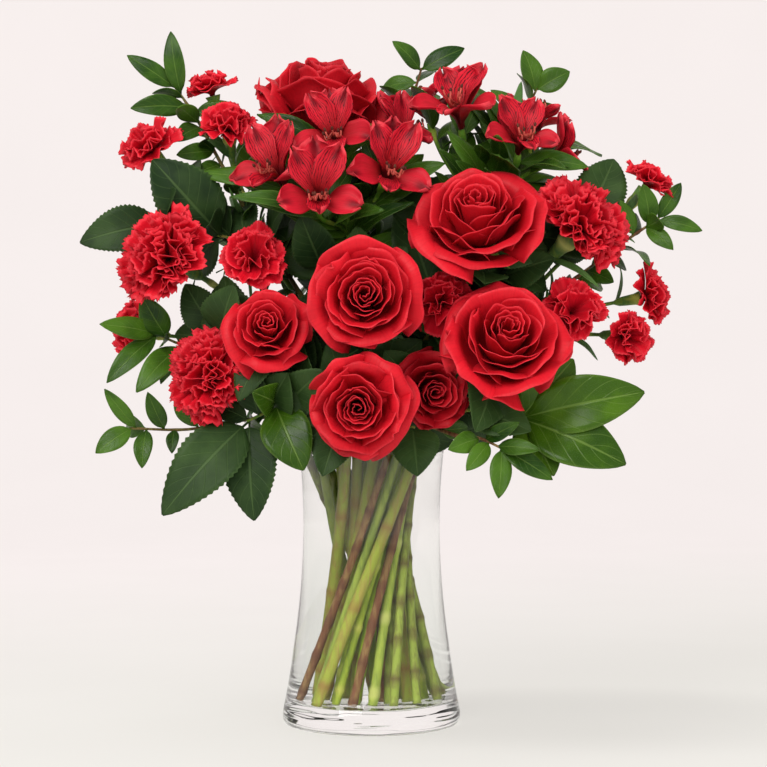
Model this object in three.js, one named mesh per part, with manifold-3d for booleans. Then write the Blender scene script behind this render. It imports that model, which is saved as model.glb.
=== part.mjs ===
// A vase of cut flowers: roses, carnations, spray carnations and alstroemerias with mixed greenery,
// standing in a flared clear glass vase of water. Millimetres, +Z up, the front of the bouquet
// faces -Y, and the origin is the middle of the vase's foot, on the table.
//
// Every stem stands on the floor of the vase and leans through its neck, all turned the same way
// round, as a florist's spiral is. Above the neck each stem bends to its own flower or sprig. Petals
// and leaves are thin closed blades whose roots are sunk in what they grow from. A stem or leaf that
// would cross a neighbour is bent clear of it, by the first of a few set bends that does.
import * as THREE from "three";
import { mergeVertices } from "three/addons/utils/BufferGeometryUtils.js";
import Module from "manifold-3d";

const wasm = await Module();
wasm.setup();
const { Manifold, Mesh: SolidMesh } = wasm;

// The vase, as [radius, height] up its outside and down its inside.
const VASE_OUTSIDE = [[56.5, 0], [61.5, 5], [61, 15], [55, 50], [50, 90], [47.8, 135], [51.5, 203]];
const VASE_INSIDE = [[49, 203], [45.3, 135], [47.3, 92], [52.2, 52], [57.4, 24], [54, 15]];
const VASE_SIDES = 20;
const WATER_LEVEL = 192;

// The gap between the water, the glass and the stems' feet, the gap round a stem in the water, and
// how far the cut for a stem runs on below its foot.
const FIT_GAP = 0.3;
const STEM_HOLE_GAP = 0.4;
const HOLE_DEPTH = 2;

// The spiral: stems stand at `spread` times their distance from the middle at the neck, turned
// round by `turn` degrees and moved by `shift`, which centres the feet on the floor, and `lag` turns
// each neck place back from the flower it leans towards.
const SPIRAL = { turn: -105, spread: 1.25, shift: [7, -4], neck: 200, reach: 42.5, lag: 24, widest: 100 };

// How stems share the neck: rounds of pushing apart, the distance of two axes as a share of their
// two foot radii and a gap more, the radius of the neck that they fill, and how far each round moves
// them all to the right, which brings them to the middle.
const NECK_ROOM = { rounds: 500, share: 1.62, gap: 1.3, radius: 45, drift: 0.004 };

// Blade thickness at its middle, and the clearance kept from other pieces.
const PETAL = 1.1;
const LEAF = 1.0;
const CLEARANCE = 0.35;

// Stem radius at the foot, at the neck and at the top, and the sides of its section. A forked stem's
// branches leave it `stagger` apart.
const STEMS = {
  rose: { foot: 3.8, neck: 3.3, top: 2.4, sides: 5 },
  carnation: { foot: 3.0, neck: 2.6, top: 2.0, sides: 5 },
  spray: { foot: 2.6, neck: 2.2, top: 1.7, sides: 5, stagger: 9 },
  alstroemeria: { foot: 3.3, neck: 2.9, top: 2.2, sides: 5, stagger: 4 },
  woody: { foot: 2.8, neck: 2.2, top: 0.8, sides: 4 },
  stalk: { foot: 3.0, neck: 2.6, top: 1.4, sides: 5 },
};

// A stem's curve above the neck: the share of its length that it leaves straight, the most it
// arrives straight, in millimetres, and how many pieces it is cut into.
const CURVE = { leave: 0.38, arrive: 34, steps: 4 };

// A branch leaves its stem a little below the stem's end, turned up by `rise`, and is wider there.
const BRANCH = { steps: 2, sides: 4, depth: 1, rise: 0.3, flare: 0.2 };

// How far a leaf's root sits back from the end of its twig.
const ROOT_DEPTH = 2;

// What swells under each kind of bloom: [distance down from the bloom, radius].
const CALYXES = {
  rose: [[12, 2.4], [7, 4.6], [0.3, 4.8]],
  carnation: [[27, 2.0], [23, 4.6], [0.3, 6.2]],
  spray: [[19, 1.3], [16, 3.2], [0.3, 4.4]],
  alstroemeria: [[12, 1.4], [7, 3.1], [0.3, 2.2]],
};

// How far up its profile a frilled petal's middle lies, and how far its teeth turn up.
const FAN_MIDDLE = 0.6;
const TOOTH_RISE = 0.4;

// A bloom's build. Its height and the place of its stated centre are shares of its radius and of
// that height. Each whorl's profile gives a petal's root, belly, shoulder and lip, outwards as a
// share of the radius and upwards as a share of the height; half is the petal's half width in
// degrees, and lap sets one edge of it out and the other in, so that neighbours overlap.
const BUILDS = {
  rose: {
    height: 1.02, centre: 0.6, columns: 3, rows: 3, crown: 0.22,
    core: [[0, 0], [0.16, 0], [0, 0.8]], coreSides: 5,
    whorls: [
      { count: 2, half: 98, start: 10, lap: 0.04,
        profile: [[0.03, 0.2], [0.34, 0.24], [0.4, 0.75], [0.14, 1.0]] },
      { count: 3, half: 66, start: 40, lap: 0.045,
        profile: [[0.07, 0.1], [0.64, 0.1], [0.58, 0.62], [0.62, 0.93]] },
      { count: 5, half: 40, start: 0, lap: 0.045,
        profile: [[0.08, 0.03], [0.92, 0.0], [0.76, 0.5], [1.0, 0.72]] },
    ],
  },
  carnation: {
    height: 0.92, centre: 0.55, lip: 6, teeth: 0.06, ruffle: 0.06,
    core: [[0, 0], [0.14, 0], [0, 0.9]], coreSides: 4,
    whorls: [
      { count: 3, half: 54, start: 20, profile: [[0.02, 0.3], [0.16, 0.6], [0.2, 0.8], [0.3, 1.0]] },
      { count: 4, half: 43, start: 50, profile: [[0.03, 0.2], [0.3, 0.5], [0.44, 0.72], [0.6, 0.92]] },
      { count: 6, half: 29, start: 10, profile: [[0.04, 0.12], [0.36, 0.3], [0.6, 0.5], [0.86, 0.66]] },
      { count: 6, half: 29, start: 40, profile: [[0.05, 0.04], [0.4, 0.14], [0.7, 0.24], [1.0, 0.3]] },
    ],
  },
  spray: {
    height: 0.92, centre: 0.55, lip: 5, teeth: 0.08, ruffle: 0.06,
    core: [[0, 0], [0.16, 0], [0, 0.8]], coreSides: 3,
    whorls: [
      { count: 2, half: 80, start: 20, profile: [[0.02, 0.26], [0.14, 0.5], [0.22, 0.8], [0.36, 1.0]] },
      { count: 3, half: 57, start: 65, profile: [[0.03, 0.16], [0.3, 0.35], [0.5, 0.6], [0.74, 0.8]] },
      { count: 5, half: 35, start: 10, profile: [[0.05, 0.05], [0.36, 0.18], [0.68, 0.3], [1.0, 0.42]] },
    ],
  },
};

// An alstroemeria floret: three broad outer tepals, and three slim ones within, on a narrow throat.
const FLORET = {
  height: 1.0, centre: 0.75, fold: 0.06, broadest: [0.12, 0.68],
  core: [[0, 0], [0.12, 0.1], [0, 0.6]], coreSides: 4,
  tepals: [
    { count: 3, start: 90, rows: 3, half: 0.4,
      profile: [[0.05, 0.2], [0.22, 0.5], [0.6, 0.88], [1.0, 0.84]] },
    { count: 3, start: -90, rows: 2, half: 0.24,
      profile: [[0.04, 0.3], [0.14, 0.62], [0.36, 1.0], [0.84, 1.14]] },
  ],
};

// Blooms: name, build, middle, the way it faces, diameter, and degrees turned about its own axis.
const BLOOMS = [
  ["rose_1", "rose", [-4, -92, 295], [0, -1, 0.12], 74, 0],
  ["rose_2", "rose", [71, -72, 350], [-0.08, -0.72, 0.7], 80, 15],
  ["rose_3", "rose", [89, -90, 268], [0.1, -0.87, 0.45], 78, 40],
  ["rose_4", "rose", [-8, -104, 222], [-0.04, -1, -0.04], 68, 20],
  ["rose_5", "rose", [42, -56, 232], [0.2, -0.96, -0.05], 56, 60],
  ["rose_6", "rose", [-68, -82, 275], [-0.05, -0.93, 0.32], 56, 30],
  ["rose_7", "rose", [-34, 16, 441], [0.1, -0.25, 0.96], 92, 10],
  ["carnation_1", "carnation", [-147, -40, 328], [-0.62, -0.62, 0.35], 68, 0],
  ["carnation_2", "carnation", [-114, -58, 243], [-0.62, -0.77, 0.1], 62, 20],
  ["carnation_3", "carnation", [149, -45, 350], [0.6, -0.53, 0.6], 68, 10],
  ["spray_bloom_1", "spray", [-116, 30, 452], [-0.25, -0.2, 0.94], 36, 0],
  ["spray_bloom_2", "spray", [-158, 0, 406], [-0.5, -0.45, 0.6], 46, 30],
  ["spray_bloom_3", "spray", [-101, -5, 421], [-0.1, -0.55, 0.8], 42, 60],
  ["spray_bloom_4", "spray", [-80, -58, 325], [-0.1, -0.85, 0.5], 48, 15],
  ["spray_bloom_5", "spray", [-172, 8, 275], [-0.8, -0.3, 0.1], 44, 45],
  ["spray_bloom_6", "spray", [47, -60, 294], [0.05, -0.95, 0.2], 42, 25],
  ["spray_bloom_7", "spray", [137, -58, 289], [0.2, -0.85, 0.4], 44, 50],
  ["spray_bloom_8", "spray", [178, -32, 270], [0.6, -0.75, -0.05], 42, 10],
  ["spray_bloom_9", "spray", [198, -6, 299], [0.9, -0.4, 0.15], 42, 35],
  ["spray_bloom_10", "spray", [197, 0, 382], [0.6, -0.25, 0.75], 40, 20],
];

// Florets: name, mouth of the throat, the way it faces, diameter and turn.
const FLORETS = [
  ["floret_1", [-68, -45, 386], [-0.4, -0.7, 0.55], 56, 0],
  ["floret_2", [-35, -78, 366], [0.0, -0.9, 0.42], 56, 0],
  ["floret_3", [-26, -46, 410], [-0.12, -0.85, 0.5], 52, 10],
  ["floret_4", [14, -58, 384], [0.25, -0.85, 0.45], 56, -8],
  ["floret_5", [24, -16, 414], [0.5, -0.45, 0.75], 48, 20],
  ["floret_6", [59, -28, 432], [-0.15, -0.5, 0.86], 58, 0],
  ["floret_7", [36, 26, 438], [-0.3, 0.2, 0.9], 44, 60],
  ["floret_8", [103, -40, 409], [0.1, -0.7, 0.7], 52, 5],
  ["floret_9", [118, 18, 428], [0.2, 0.1, 0.95], 46, 40],
  ["floret_10", [136, -6, 400], [0.85, -0.1, 0.5], 42, 15],
];

// Leaf outlines: half width at stations up the leaf, as [place, share of the full half width].
const LEAF_FORMS = {
  rose: [[0.16, 0.66], [0.34, 1.0], [0.46, 0.82], [0.64, 0.86], [0.78, 0.48]],
  sprig: [[0.32, 0.95], [0.66, 0.84]],
  strap: [[0.3, 0.9], [0.65, 0.8]],
  lobe: [[0.22, 0.7], [0.52, 1.0], [0.8, 0.62]],
};
// How far a leaf folds up along its midrib, how far it arches, and how far it faces the sky.
const LEAF_FOLD = 0.16;
const LEAF_ARCH = 0.1;
const LEAF_LIFT = 0.55;

// A twig's radius where it leaves its stem and at its end, and how far a bend pushes its middle.
const TWIG = { start: 1.5, end: 0.9, sides: 4, push: 0.6 };

// Plants: how each stem runs, what it carries and its leaves. A twig leaves its plant's stem at
// `from`, a share of the way from the neck to the top. A leaf is [base, tip, width].
const PLANTS = [
  { name: "rose_1_stem", kind: "rose", blooms: ["rose_1"], twigs: [
    { from: 0.55, line: [[-34, -26, 318]], form: "rose", leaves: [[[-36, -28, 320], [-48, -50, 352], 30]] },
  ] },
  { name: "rose_2_stem", kind: "rose", blooms: ["rose_2"], twigs: [
    { from: 0.6, line: [[112, -12, 338], [150, -4, 350]], form: "rose", leaves: [
      [[153, -3, 352], [176, 2, 396], 36], [[122, -12, 341], [128, 12, 372], 26]] },
    { from: 0.5, line: [[92, -34, 312]], form: "rose", leaves: [[[94, -36, 313], [124, -54, 322], 28]] },
  ] },
  { name: "rose_3_stem", kind: "rose", blooms: ["rose_3"], twigs: [
    { from: 0.35, line: [[70, -58, 220]], form: "rose", leaves: [[[73, -60, 218], [106, -82, 206], 30]] },
    { from: 0.6, line: [[98, -30, 262]], form: "rose", leaves: [[[101, -30, 263], [134, -28, 252], 28]] },
  ] },
  { name: "rose_4_stem", kind: "rose", blooms: ["rose_4"], twigs: [
    { from: 0.45, line: [[-22, -62, 208]], form: "rose", leaves: [[[-24, -64, 207], [-32, -80, 176], 28]] },
  ] },
  { name: "rose_5_stem", kind: "rose", blooms: ["rose_5"], twigs: [
    { from: 0.35, line: [[29, -56, 208]], form: "rose", leaves: [[[30, -59, 206], [31, -78, 176], 33]] },
  ] },
  { name: "rose_6_stem", kind: "rose", blooms: ["rose_6"], twigs: [
    { from: 0.35, line: [[-62, -46, 222], [-84, -52, 212]], form: "rose", leaves: [
      [[-88, -53, 210], [-139, -72, 150], 42], [[-80, -54, 209], [-78, -68, 146], 38],
      [[-86, -48, 214], [-108, -36, 224], 16]] },
    { from: 0.6, line: [[-92, -36, 262], [-108, -28, 272]], form: "rose", leaves: [
      [[-110, -27, 274], [-128, -26, 306], 28], [[-98, -30, 264], [-136, -14, 272], 26]] },
  ] },
  { name: "rose_7_stem", kind: "rose", blooms: ["rose_7"], twigs: [
    { from: 0.55, line: [[-66, -4, 334], [-104, -12, 340], [-146, -2, 350]], form: "rose", leaves: [
      [[-150, -2, 351], [-203, -8, 336], 34], [[-104, -12, 341], [-152, -12, 392], 46],
      [[-104, -8, 338], [-130, 34, 318], 34]] },
    { from: 0.5, line: [[-18, 50, 336]], form: "rose", leaves: [
      [[-18, 54, 338], [-30, 100, 352], 40], [[-16, 50, 338], [12, 84, 366], 34]] },
  ] },
  { name: "carnation_1_stem", kind: "carnation", blooms: ["carnation_1"], form: "strap", leaves: [
    [[-78, -18, 285], [-92, -44, 306], 5], [[-78, -18, 285], [-104, 4, 300], 5]] },
  { name: "carnation_2_stem", kind: "carnation", blooms: ["carnation_2"], form: "strap", leaves: [
    [[-60, -30, 225], [-78, -22, 196], 5]] },
  { name: "carnation_3_stem", kind: "carnation", blooms: ["carnation_3"], form: "strap", leaves: [
    [[80, -20, 285], [108, -34, 296], 5], [[80, -20, 285], [96, 8, 312], 5]] },
  { name: "spray_1_stem", kind: "spray", fork: [-90, 6, 356], form: "strap",
    blooms: ["spray_bloom_1", "spray_bloom_2", "spray_bloom_3"],
    leaves: [[[-90, 6, 356], [-104, -22, 372], 4]] },
  { name: "spray_2_stem", kind: "spray", fork: [-72, -14, 262], form: "strap",
    blooms: ["spray_bloom_4", "spray_bloom_5"], leaves: [[[-72, -14, 262], [-84, 14, 282], 4]] },
  { name: "spray_3_stem", kind: "spray", fork: [106, -16, 266], form: "strap",
    blooms: ["spray_bloom_7", "spray_bloom_8", "spray_bloom_9", "spray_bloom_10"],
    leaves: [[[106, -16, 266], [124, 10, 284], 4]] },
  { name: "spray_4_stem", kind: "spray", form: "strap", blooms: ["spray_bloom_6"], leaves: [
    [[20, -26, 262], [14, -46, 276], 4]] },
  { name: "alstroemeria_1_stem", kind: "alstroemeria", fork: [-16, -18, 346], form: "sprig",
    blooms: ["floret_1", "floret_2", "floret_3", "floret_4", "floret_5"],
    leaves: [[[-16, -18, 346], [-52, -20, 366], 12], [[-16, -18, 346], [8, 14, 372], 12]] },
  { name: "alstroemeria_2_stem", kind: "alstroemeria", fork: [74, -6, 362], form: "sprig",
    blooms: ["floret_6", "floret_7", "floret_8", "floret_9", "floret_10"],
    twigs: [{ from: 0.98, line: [[96, 2, 410]], form: "strap", leaves: [[[97, 2, 412], [105, 0, 449], 9]] }],
    leaves: [[[74, -6, 362], [112, -22, 356], 15], [[74, -6, 362], [52, 28, 386], 12]] },
  { name: "sprig_1", kind: "woody",
    line: [[-92, 6, 366], [-121, 20, 420], [-131, 26, 436], [-141, 30, 450]], form: "sprig", leaves: [
      [[-141, 30, 449], [-174, 24, 471], 14], [[-133, 28, 445], [-143, 24, 488], 15],
      [[-132, 24, 433], [-170, 12, 432], 16],
      [[-120, 20, 420], [-138, 4, 408], 14], [[-112, 14, 401], [-137, 4, 398], 13],
      [[-105, 12, 393], [-124, 2, 384], 11],
      [[-125, 24, 430], [-104, 40, 447], 13]] },
  { name: "sprig_2", kind: "woody", line: [[4, 40, 350], [16, 52, 405], [28, 55, 440], [36, 50, 466]],
    form: "sprig", leaves: [
      [[35, 50, 464], [15, 42, 484], 14], [[36, 50, 466], [67, 50, 480], 16],
      [[32, 52, 456], [6, 66, 452], 14],
      [[28, 55, 440], [50, 72, 448], 13], [[20, 53, 415], [44, 66, 420], 13]] },
  { name: "sprig_3", kind: "woody", line: [[70, 32, 340], [92, 46, 396], [108, 52, 428], [120, 52, 452]],
    form: "sprig", leaves: [
      [[118, 52, 449], [109, 46, 478], 18], [[120, 52, 452], [143, 48, 463], 18],
      [[108, 52, 430], [86, 50, 450], 12], [[92, 46, 396], [72, 60, 408], 13]] },
  { name: "sprig_4", kind: "woody", line: [[100, -4, 282], [145, 2, 313], [180, 0, 339], [201, -4, 353]],
    form: "sprig", leaves: [
      [[194, -4, 348], [200, -12, 377], 15], [[201, -4, 353], [221, -5, 374], 12],
      [[201, -4, 350], [230, -10, 344], 11],
      [[192, -2, 346], [209, -16, 330], 12], [[183, -2, 341], [173, -10, 365], 11],
      [[150, 2, 316], [168, -14, 308], 14]] },
  { name: "sprig_5", kind: "woody", line: [[42, -36, 208], [59, -53, 202], [73, -68, 201], [88, -80, 194]],
    form: "sprig", leaves: [
      [[68, -72, 211], [51, -86, 194], 15], [[78, -76, 203], [63, -86, 180], 13],
      [[86, -80, 195], [84, -90, 162], 15],
      [[87, -80, 195], [120, -86, 174], 15], [[84, -78, 199], [111, -94, 194], 12],
      [[76, -74, 207], [98, -88, 212], 11]] },
  { name: "sprig_6", kind: "woody",
    line: [[-60, -16, 216], [-91, -20, 212], [-127, -26, 206], [-166, -30, 207]], form: "sprig", leaves: [
      [[-161, -30, 207], [-182, -38, 234], 11], [[-166, -30, 207], [-188, -38, 190], 16],
      [[-142, -28, 206], [-152, -42, 232], 13],
      [[-154, -30, 206], [-156, -42, 180], 13], [[-135, -28, 206], [-136, -38, 190], 9]] },
  { name: "sprig_7", kind: "woody",
    line: [[-52, 4, 236], [-91, -2, 252], [-128, -10, 263], [-151, -14, 273]], form: "sprig", leaves: [
      [[-151, -14, 273], [-193, -24, 278], 16], [[-148, -14, 271], [-181, -34, 238], 16],
      [[-142, -14, 268], [-158, -26, 298], 20],
      [[-131, -14, 263], [-160, -40, 232], 19], [[-110, -14, 254], [-116, 12, 270], 14]] },
  { name: "fatsia_leaf", kind: "stalk", line: [[62, -36, 222], [102, -58, 214]], form: "lobe", leaves: [
    [[102, -58, 214], [182, -74, 232], 38], [[102, -58, 214], [169, -80, 184], 40],
    [[102, -58, 214], [136, -62, 254], 34],
    [[102, -58, 214], [122, -72, 176], 32]] },
  { name: "broad_leaf", kind: "stalk", line: [[-50, -44, 222], [-66, -58, 224]], form: "lobe", leaves: [
    [[-66, -58, 224], [-50, -84, 180], 34], [[-66, -58, 224], [-96, -76, 232], 24]] },
  { name: "back_spray_1", kind: "woody",
    line: [[-34, 36, 250], [-58, 64, 296], [-72, 82, 344], [-78, 90, 378]], form: "lobe", leaves: [
      [[-34, 36, 250], [-66, 82, 240], 34], [[-48, 52, 276], [-104, 66, 290], 34],
      [[-58, 64, 296], [-58, 112, 300], 34],
      [[-66, 74, 322], [-118, 76, 346], 34], [[-72, 82, 344], [-58, 118, 366], 32],
      [[-78, 90, 378], [-94, 96, 424], 32]] },
  { name: "back_spray_2", kind: "woody",
    line: [[34, 36, 250], [60, 62, 292], [80, 76, 336], [88, 82, 372]], form: "lobe", leaves: [
      [[34, 36, 250], [54, 84, 236], 34], [[50, 50, 274], [106, 66, 276], 34],
      [[60, 62, 292], [52, 110, 306], 34],
      [[72, 70, 318], [122, 70, 334], 34], [[80, 76, 336], [72, 118, 362], 32],
      [[88, 82, 372], [104, 84, 416], 32]] },
  { name: "back_spray_3", kind: "woody", line: [[-2, 44, 244], [-4, 70, 268], [-2, 88, 290]], form: "lobe",
    leaves: [
      [[-2, 44, 244], [-14, 84, 216], 34], [[-4, 70, 268], [26, 98, 258], 30],
      [[-2, 88, 290], [-6, 122, 318], 34]] },
];

// Colours and roughness.
const FINISHES = {
  vase: { color: "#dfe9e6", roughness: 0.05, transparent: true, opacity: 0.3 },
  water: { color: "#e8f1f0", roughness: 0.02, transparent: true, opacity: 0.35 },
  rose: { color: "#b5121f", roughness: 0.6 },
  carnation: { color: "#b80f22", roughness: 0.75 },
  spray: { color: "#bd1426", roughness: 0.75 },
  alstroemeria: { color: "#a80f1f", roughness: 0.5 },
  stem: { color: "#4f7a2c", roughness: 0.55 },
  sprig: { color: "#3c7a2e", roughness: 0.45 },
  leaf: { color: "#2f6a33", roughness: 0.4 },
};

// Corners closer than this are one, and solids that share no more than this volume are clear.
const SAME_PLACE = 1e-3;
const CLEAR_VOLUME = 1e-6;

const UP = new THREE.Vector3(0, 0, 1);
const BACK = new THREE.Vector3(0, 1, 0);
const radians = THREE.MathUtils.degToRad;
const mix = THREE.MathUtils.lerp;
const vector = ([x, y, z]) => new THREE.Vector3(x, y, z);
const scaled = (profile, across, up) => profile.map(([r, z]) => [r * across, z * up]);
const tapered = (from, to, count) => Array.from({ length: count }, (_, i) => mix(from, to, i / (count - 1)));
const widened = (radii) => radii.map((radius) => radius + CLEARANCE);

// Bends tried in turn, growing outwards in eight directions: how far a stem's curve is pushed in
// millimetres, or how far a leaf is swung in degrees.
function bendsOf(amounts) {
  const bends = [[0, 0]];
  for (const amount of amounts) {
    for (let turn = 0; turn < 360; turn += 45) {
      bends.push([amount * Math.cos(radians(turn)), amount * Math.sin(radians(turn))]);
    }
  }
  return bends;
}
const STEM_BENDS = bendsOf([9, 18, 28]);
const LEAF_BENDS = bendsOf([12, 24, 38]);

// A repeatable draw between -1 and 1.
function jitter(seed, k) {
  const wave = Math.sin(seed * 127.1 + k * 311.7) * 43758.5453;
  return 2 * (wave - Math.floor(wave)) - 1;
}

// Axes for something that faces along `axis`: x to its right, seen from in front, and y upwards.
function facing(axis) {
  const z = axis.clone().normalize();
  const x = (Math.abs(z.z) > 0.9 ? BACK : UP).clone().cross(z).normalize();
  return { x, y: z.clone().cross(x), z };
}

// The point at (x, y, z) in a set of axes about `origin`.
function within(axes, origin, x, y, z) {
  return origin.clone().addScaledVector(axes.x, x).addScaledVector(axes.y, y).addScaledVector(axes.z, z);
}

function solidOf(positions, corners) {
  const vertProperties = new Float32Array(positions);
  return new Manifold(new SolidMesh({ numProp: 3, vertProperties, triVerts: new Uint32Array(corners) }));
}

// A turned solid from a profile of [radius, height], which starts and ends on the axis. It stands
// on `origin` with its axis along `axes.z`.
function turned(profile, sides, axes = facing(UP), origin = new THREE.Vector3()) {
  const lathe = new THREE.LatheGeometry(profile.map(([r, z]) => new THREE.Vector2(r, z)), sides);
  lathe.rotateX(Math.PI / 2);
  lathe.applyMatrix4(new THREE.Matrix4().makeBasis(axes.x, axes.y, axes.z).setPosition(origin));
  lathe.deleteAttribute("normal");
  lathe.deleteAttribute("uv");
  const merged = mergeVertices(lathe, SAME_PLACE);
  const corners = [];
  for (let i = 0; i < merged.index.count; i += 3) {
    const [a, b, c] = [0, 1, 2].map((k) => merged.index.getX(i + k));
    if (a !== b && b !== c && c !== a) corners.push(a, b, c);
  }
  return solidOf(merged.attributes.position.array, corners);
}

// A closed blade through rows of points from root to lip; a row of one point is a pointed end. The
// edge is sharp, the middle is `thickness` through, and both faces are split along one diagonal.
function blade(rows, thickness) {
  const points = [];
  const last = rows.length - 1;
  const columns = Math.max(...rows.map((row) => row.length)) - 1;
  const at = (i, j) => rows[i][Math.min(j, rows[i].length - 1)];
  const faces = rows.map((row, i) =>
    row.map((point, j) => {
      if (i === 0 || i === last || j === 0 || j === row.length - 1) {
        points.push(point);
        return [points.length - 1, points.length - 1];
      }
      const across = row[j + 1].clone().sub(row[j - 1]);
      const along = at(i + 1, j).clone().sub(at(i - 1, j));
      const rise = across.cross(along).setLength(thickness / 2);
      points.push(point.clone().add(rise), point.clone().sub(rise));
      return [points.length - 2, points.length - 1];
    }),
  );
  const corners = [];
  for (const side of [0, 1]) {
    const corner = (i, j) => faces[i][Math.min(j, faces[i].length - 1)][side];
    const add = (a, b, c) => corners.push(a, side ? c : b, side ? b : c);
    for (let i = 0; i < last; i++) {
      for (let j = 0; j < columns; j++) {
        const [a, b, c, d] = [corner(i, j), corner(i, j + 1), corner(i + 1, j + 1), corner(i + 1, j)];
        if (a === b) {
          add(a, c, d);
        } else if (c === d) {
          add(a, b, c);
        } else if (j < columns / 2 === (i === last - 1)) {
          add(a, b, d);
          add(b, c, d);
        } else {
          add(a, b, c);
          add(a, c, d);
        }
      }
    }
  }
  return solidOf(points.flatMap((p) => p.toArray()), corners);
}

// A closed fan from `root` to the points of its lip, `thickness` through at `middle`.
function fan(root, middle, lip, thickness) {
  const rim = [root, ...lip];
  const rise = lip.at(-1).clone().sub(lip[0]).cross(middle.clone().sub(root)).setLength(thickness / 2);
  const points = [...rim, middle.clone().add(rise), middle.clone().sub(rise)];
  const corners = [];
  rim.forEach((_, k) => {
    const next = (k + 1) % rim.length;
    corners.push(next, k, rim.length, k, next, rim.length + 1);
  });
  return solidOf(points.flatMap((p) => p.toArray()), corners);
}

// A round bar through `points` with a radius at each. A level foot is cut flat, parallel to the table.
function bar(points, radii, sides, levelFoot = false) {
  const rings = [];
  let normal = facing(points[1].clone().sub(points[0])).x;
  points.forEach((point, i) => {
    const before = points[Math.max(i - 1, 0)];
    const after = points[Math.min(i + 1, points.length - 1)];
    const tangent = after.clone().sub(before).normalize();
    normal = normal.clone().addScaledVector(tangent, -normal.dot(tangent)).normalize();
    const side = tangent.clone().cross(normal);
    for (let k = 0; k < sides; k++) {
      const angle = (2 * Math.PI * k) / sides;
      const corner = normal.clone().multiplyScalar(radii[i] * Math.cos(angle));
      corner.addScaledVector(side, radii[i] * Math.sin(angle));
      if (levelFoot && i === 0) corner.addScaledVector(tangent, -corner.z / tangent.z);
      rings.push(corner.add(point));
    }
  });
  const corners = [];
  const end = rings.length - sides;
  for (let k = 0; k < sides; k++) {
    const next = (k + 1) % sides;
    for (let ring = 0; ring < end; ring += sides) {
      corners.push(ring + k, ring + next, ring + sides + next);
      corners.push(ring + k, ring + sides + next, ring + sides + k);
    }
    if (k > 0 && next > 0) corners.push(0, next, k, end, end + k, end + next);
  }
  return solidOf(rings.flatMap((p) => p.toArray()), corners);
}

// The curve of a profile of four [outwards, upwards] control points.
function profileCurve(profile) {
  return new THREE.CubicBezierCurve(...profile.map(([r, z]) => new THREE.Vector2(r, z)));
}

// A smooth cupped petal of a whorl, `middle` degrees round the bloom. Its lap is taken along the
// normal of the profile, so that neighbours lie over each other without crossing.
function cuppedPetal(build, whorl, middle, bloom) {
  const curve = profileCurve(whorl.profile);
  const spot = (u, v) => {
    const share = v * (1 - build.crown * u * u);
    const point = curve.getPoint(share);
    const tangent = curve.getTangent(share);
    const out = bloom.radius * (point.x + whorl.lap * u * tangent.y);
    const up = bloom.radius * (build.height * point.y - whorl.lap * u * tangent.x);
    const angle = radians(middle + u * whorl.half);
    return within(bloom.axes, bloom.seat, out * Math.cos(angle), out * Math.sin(angle), up);
  };
  const rows = [[spot(0, 0)]];
  for (let i = 1; i <= build.rows; i++) {
    const across = Array.from({ length: build.columns + 1 }, (_, j) => (2 * j) / build.columns - 1);
    rows.push(across.map((u) => spot(u, i / build.rows)));
  }
  return blade(rows, PETAL);
}

// A fan of a petal with a toothed and waved lip, `middle` degrees round the bloom.
function frilledPetal(build, whorl, middle, bloom, seed) {
  const curve = profileCurve(whorl.profile);
  const spot = (u, v, tooth = 0, wave = 0) => {
    const point = curve.getPoint(v);
    const out = bloom.radius * (point.x + tooth);
    const up = bloom.radius * (build.height * point.y + tooth * TOOTH_RISE + wave);
    const angle = radians(middle + u * whorl.half);
    return within(bloom.axes, bloom.seat, out * Math.cos(angle), out * Math.sin(angle), up);
  };
  const lip = Array.from({ length: build.lip }, (_, j) => {
    const odd = j % 2;
    const wave = build.ruffle * (odd ? 1 : -1) * (0.7 + 0.3 * jitter(seed, j));
    return spot((2 * j) / (build.lip - 1) - 1, 1, odd ? build.teeth : 0, wave);
  });
  return fan(spot(0, 0), spot(0, FAN_MIDDLE), lip, PETAL);
}

// One tepal, a pointed blade that widens from the throat, `middle` degrees round the floret.
function tepal(kind, middle, floret) {
  const [cos, sin] = [Math.cos(radians(middle)), Math.sin(radians(middle))];
  const curve = profileCurve(kind.profile);
  const rows = [];
  for (let i = 0; i <= kind.rows; i++) {
    const point = curve.getPoint(i / kind.rows);
    const pointed = i === 0 || i === kind.rows;
    const half = floret.radius * kind.half * Math.sin(Math.PI * mix(...FLORET.broadest, i / kind.rows));
    rows.push(
      (pointed ? [0] : [-1, 0, 1]).map((u) => {
        const out = floret.radius * point.x;
        const up = floret.radius * (FLORET.height * point.y + FLORET.fold * Math.abs(u));
        return within(floret.axes, floret.seat, out * cos - u * half * sin, out * sin + u * half * cos, up);
      }),
    );
  }
  return blade(rows, PETAL);
}

// Where a bloom sits: its axes, its radius and the middle of its seat, on top of its calyx.
function seated(kind, build, middle, direction, diameter, turn) {
  const flat = facing(vector(direction));
  const spin = new THREE.Quaternion().setFromAxisAngle(flat.z, radians(turn));
  const axes = { x: flat.x.applyQuaternion(spin), y: flat.y.applyQuaternion(spin), z: flat.z };
  const radius = diameter / 2;
  const seat = vector(middle).addScaledVector(axes.z, -build.centre * build.height * radius);
  return { kind, axes, radius, seat };
}

// Every solid made so far, with the node it belongs to. A reserved one only keeps others away.
const pieces = [];

function addPiece(owner, solid, reserved = false) {
  pieces.push({ owner, solid, reserved, box: solid.boundingBox() });
}

// True where a solid meets a piece of another node.
function meetsOthers(owner, solid) {
  const box = solid.boundingBox();
  return pieces.some((piece) => {
    const apart = [0, 1, 2].some((k) => box.min[k] > piece.box.max[k] || box.max[k] < piece.box.min[k]);
    return piece.owner !== owner && !apart && solid.intersect(piece.solid).volume() > CLEAR_VOLUME;
  });
}

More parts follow.
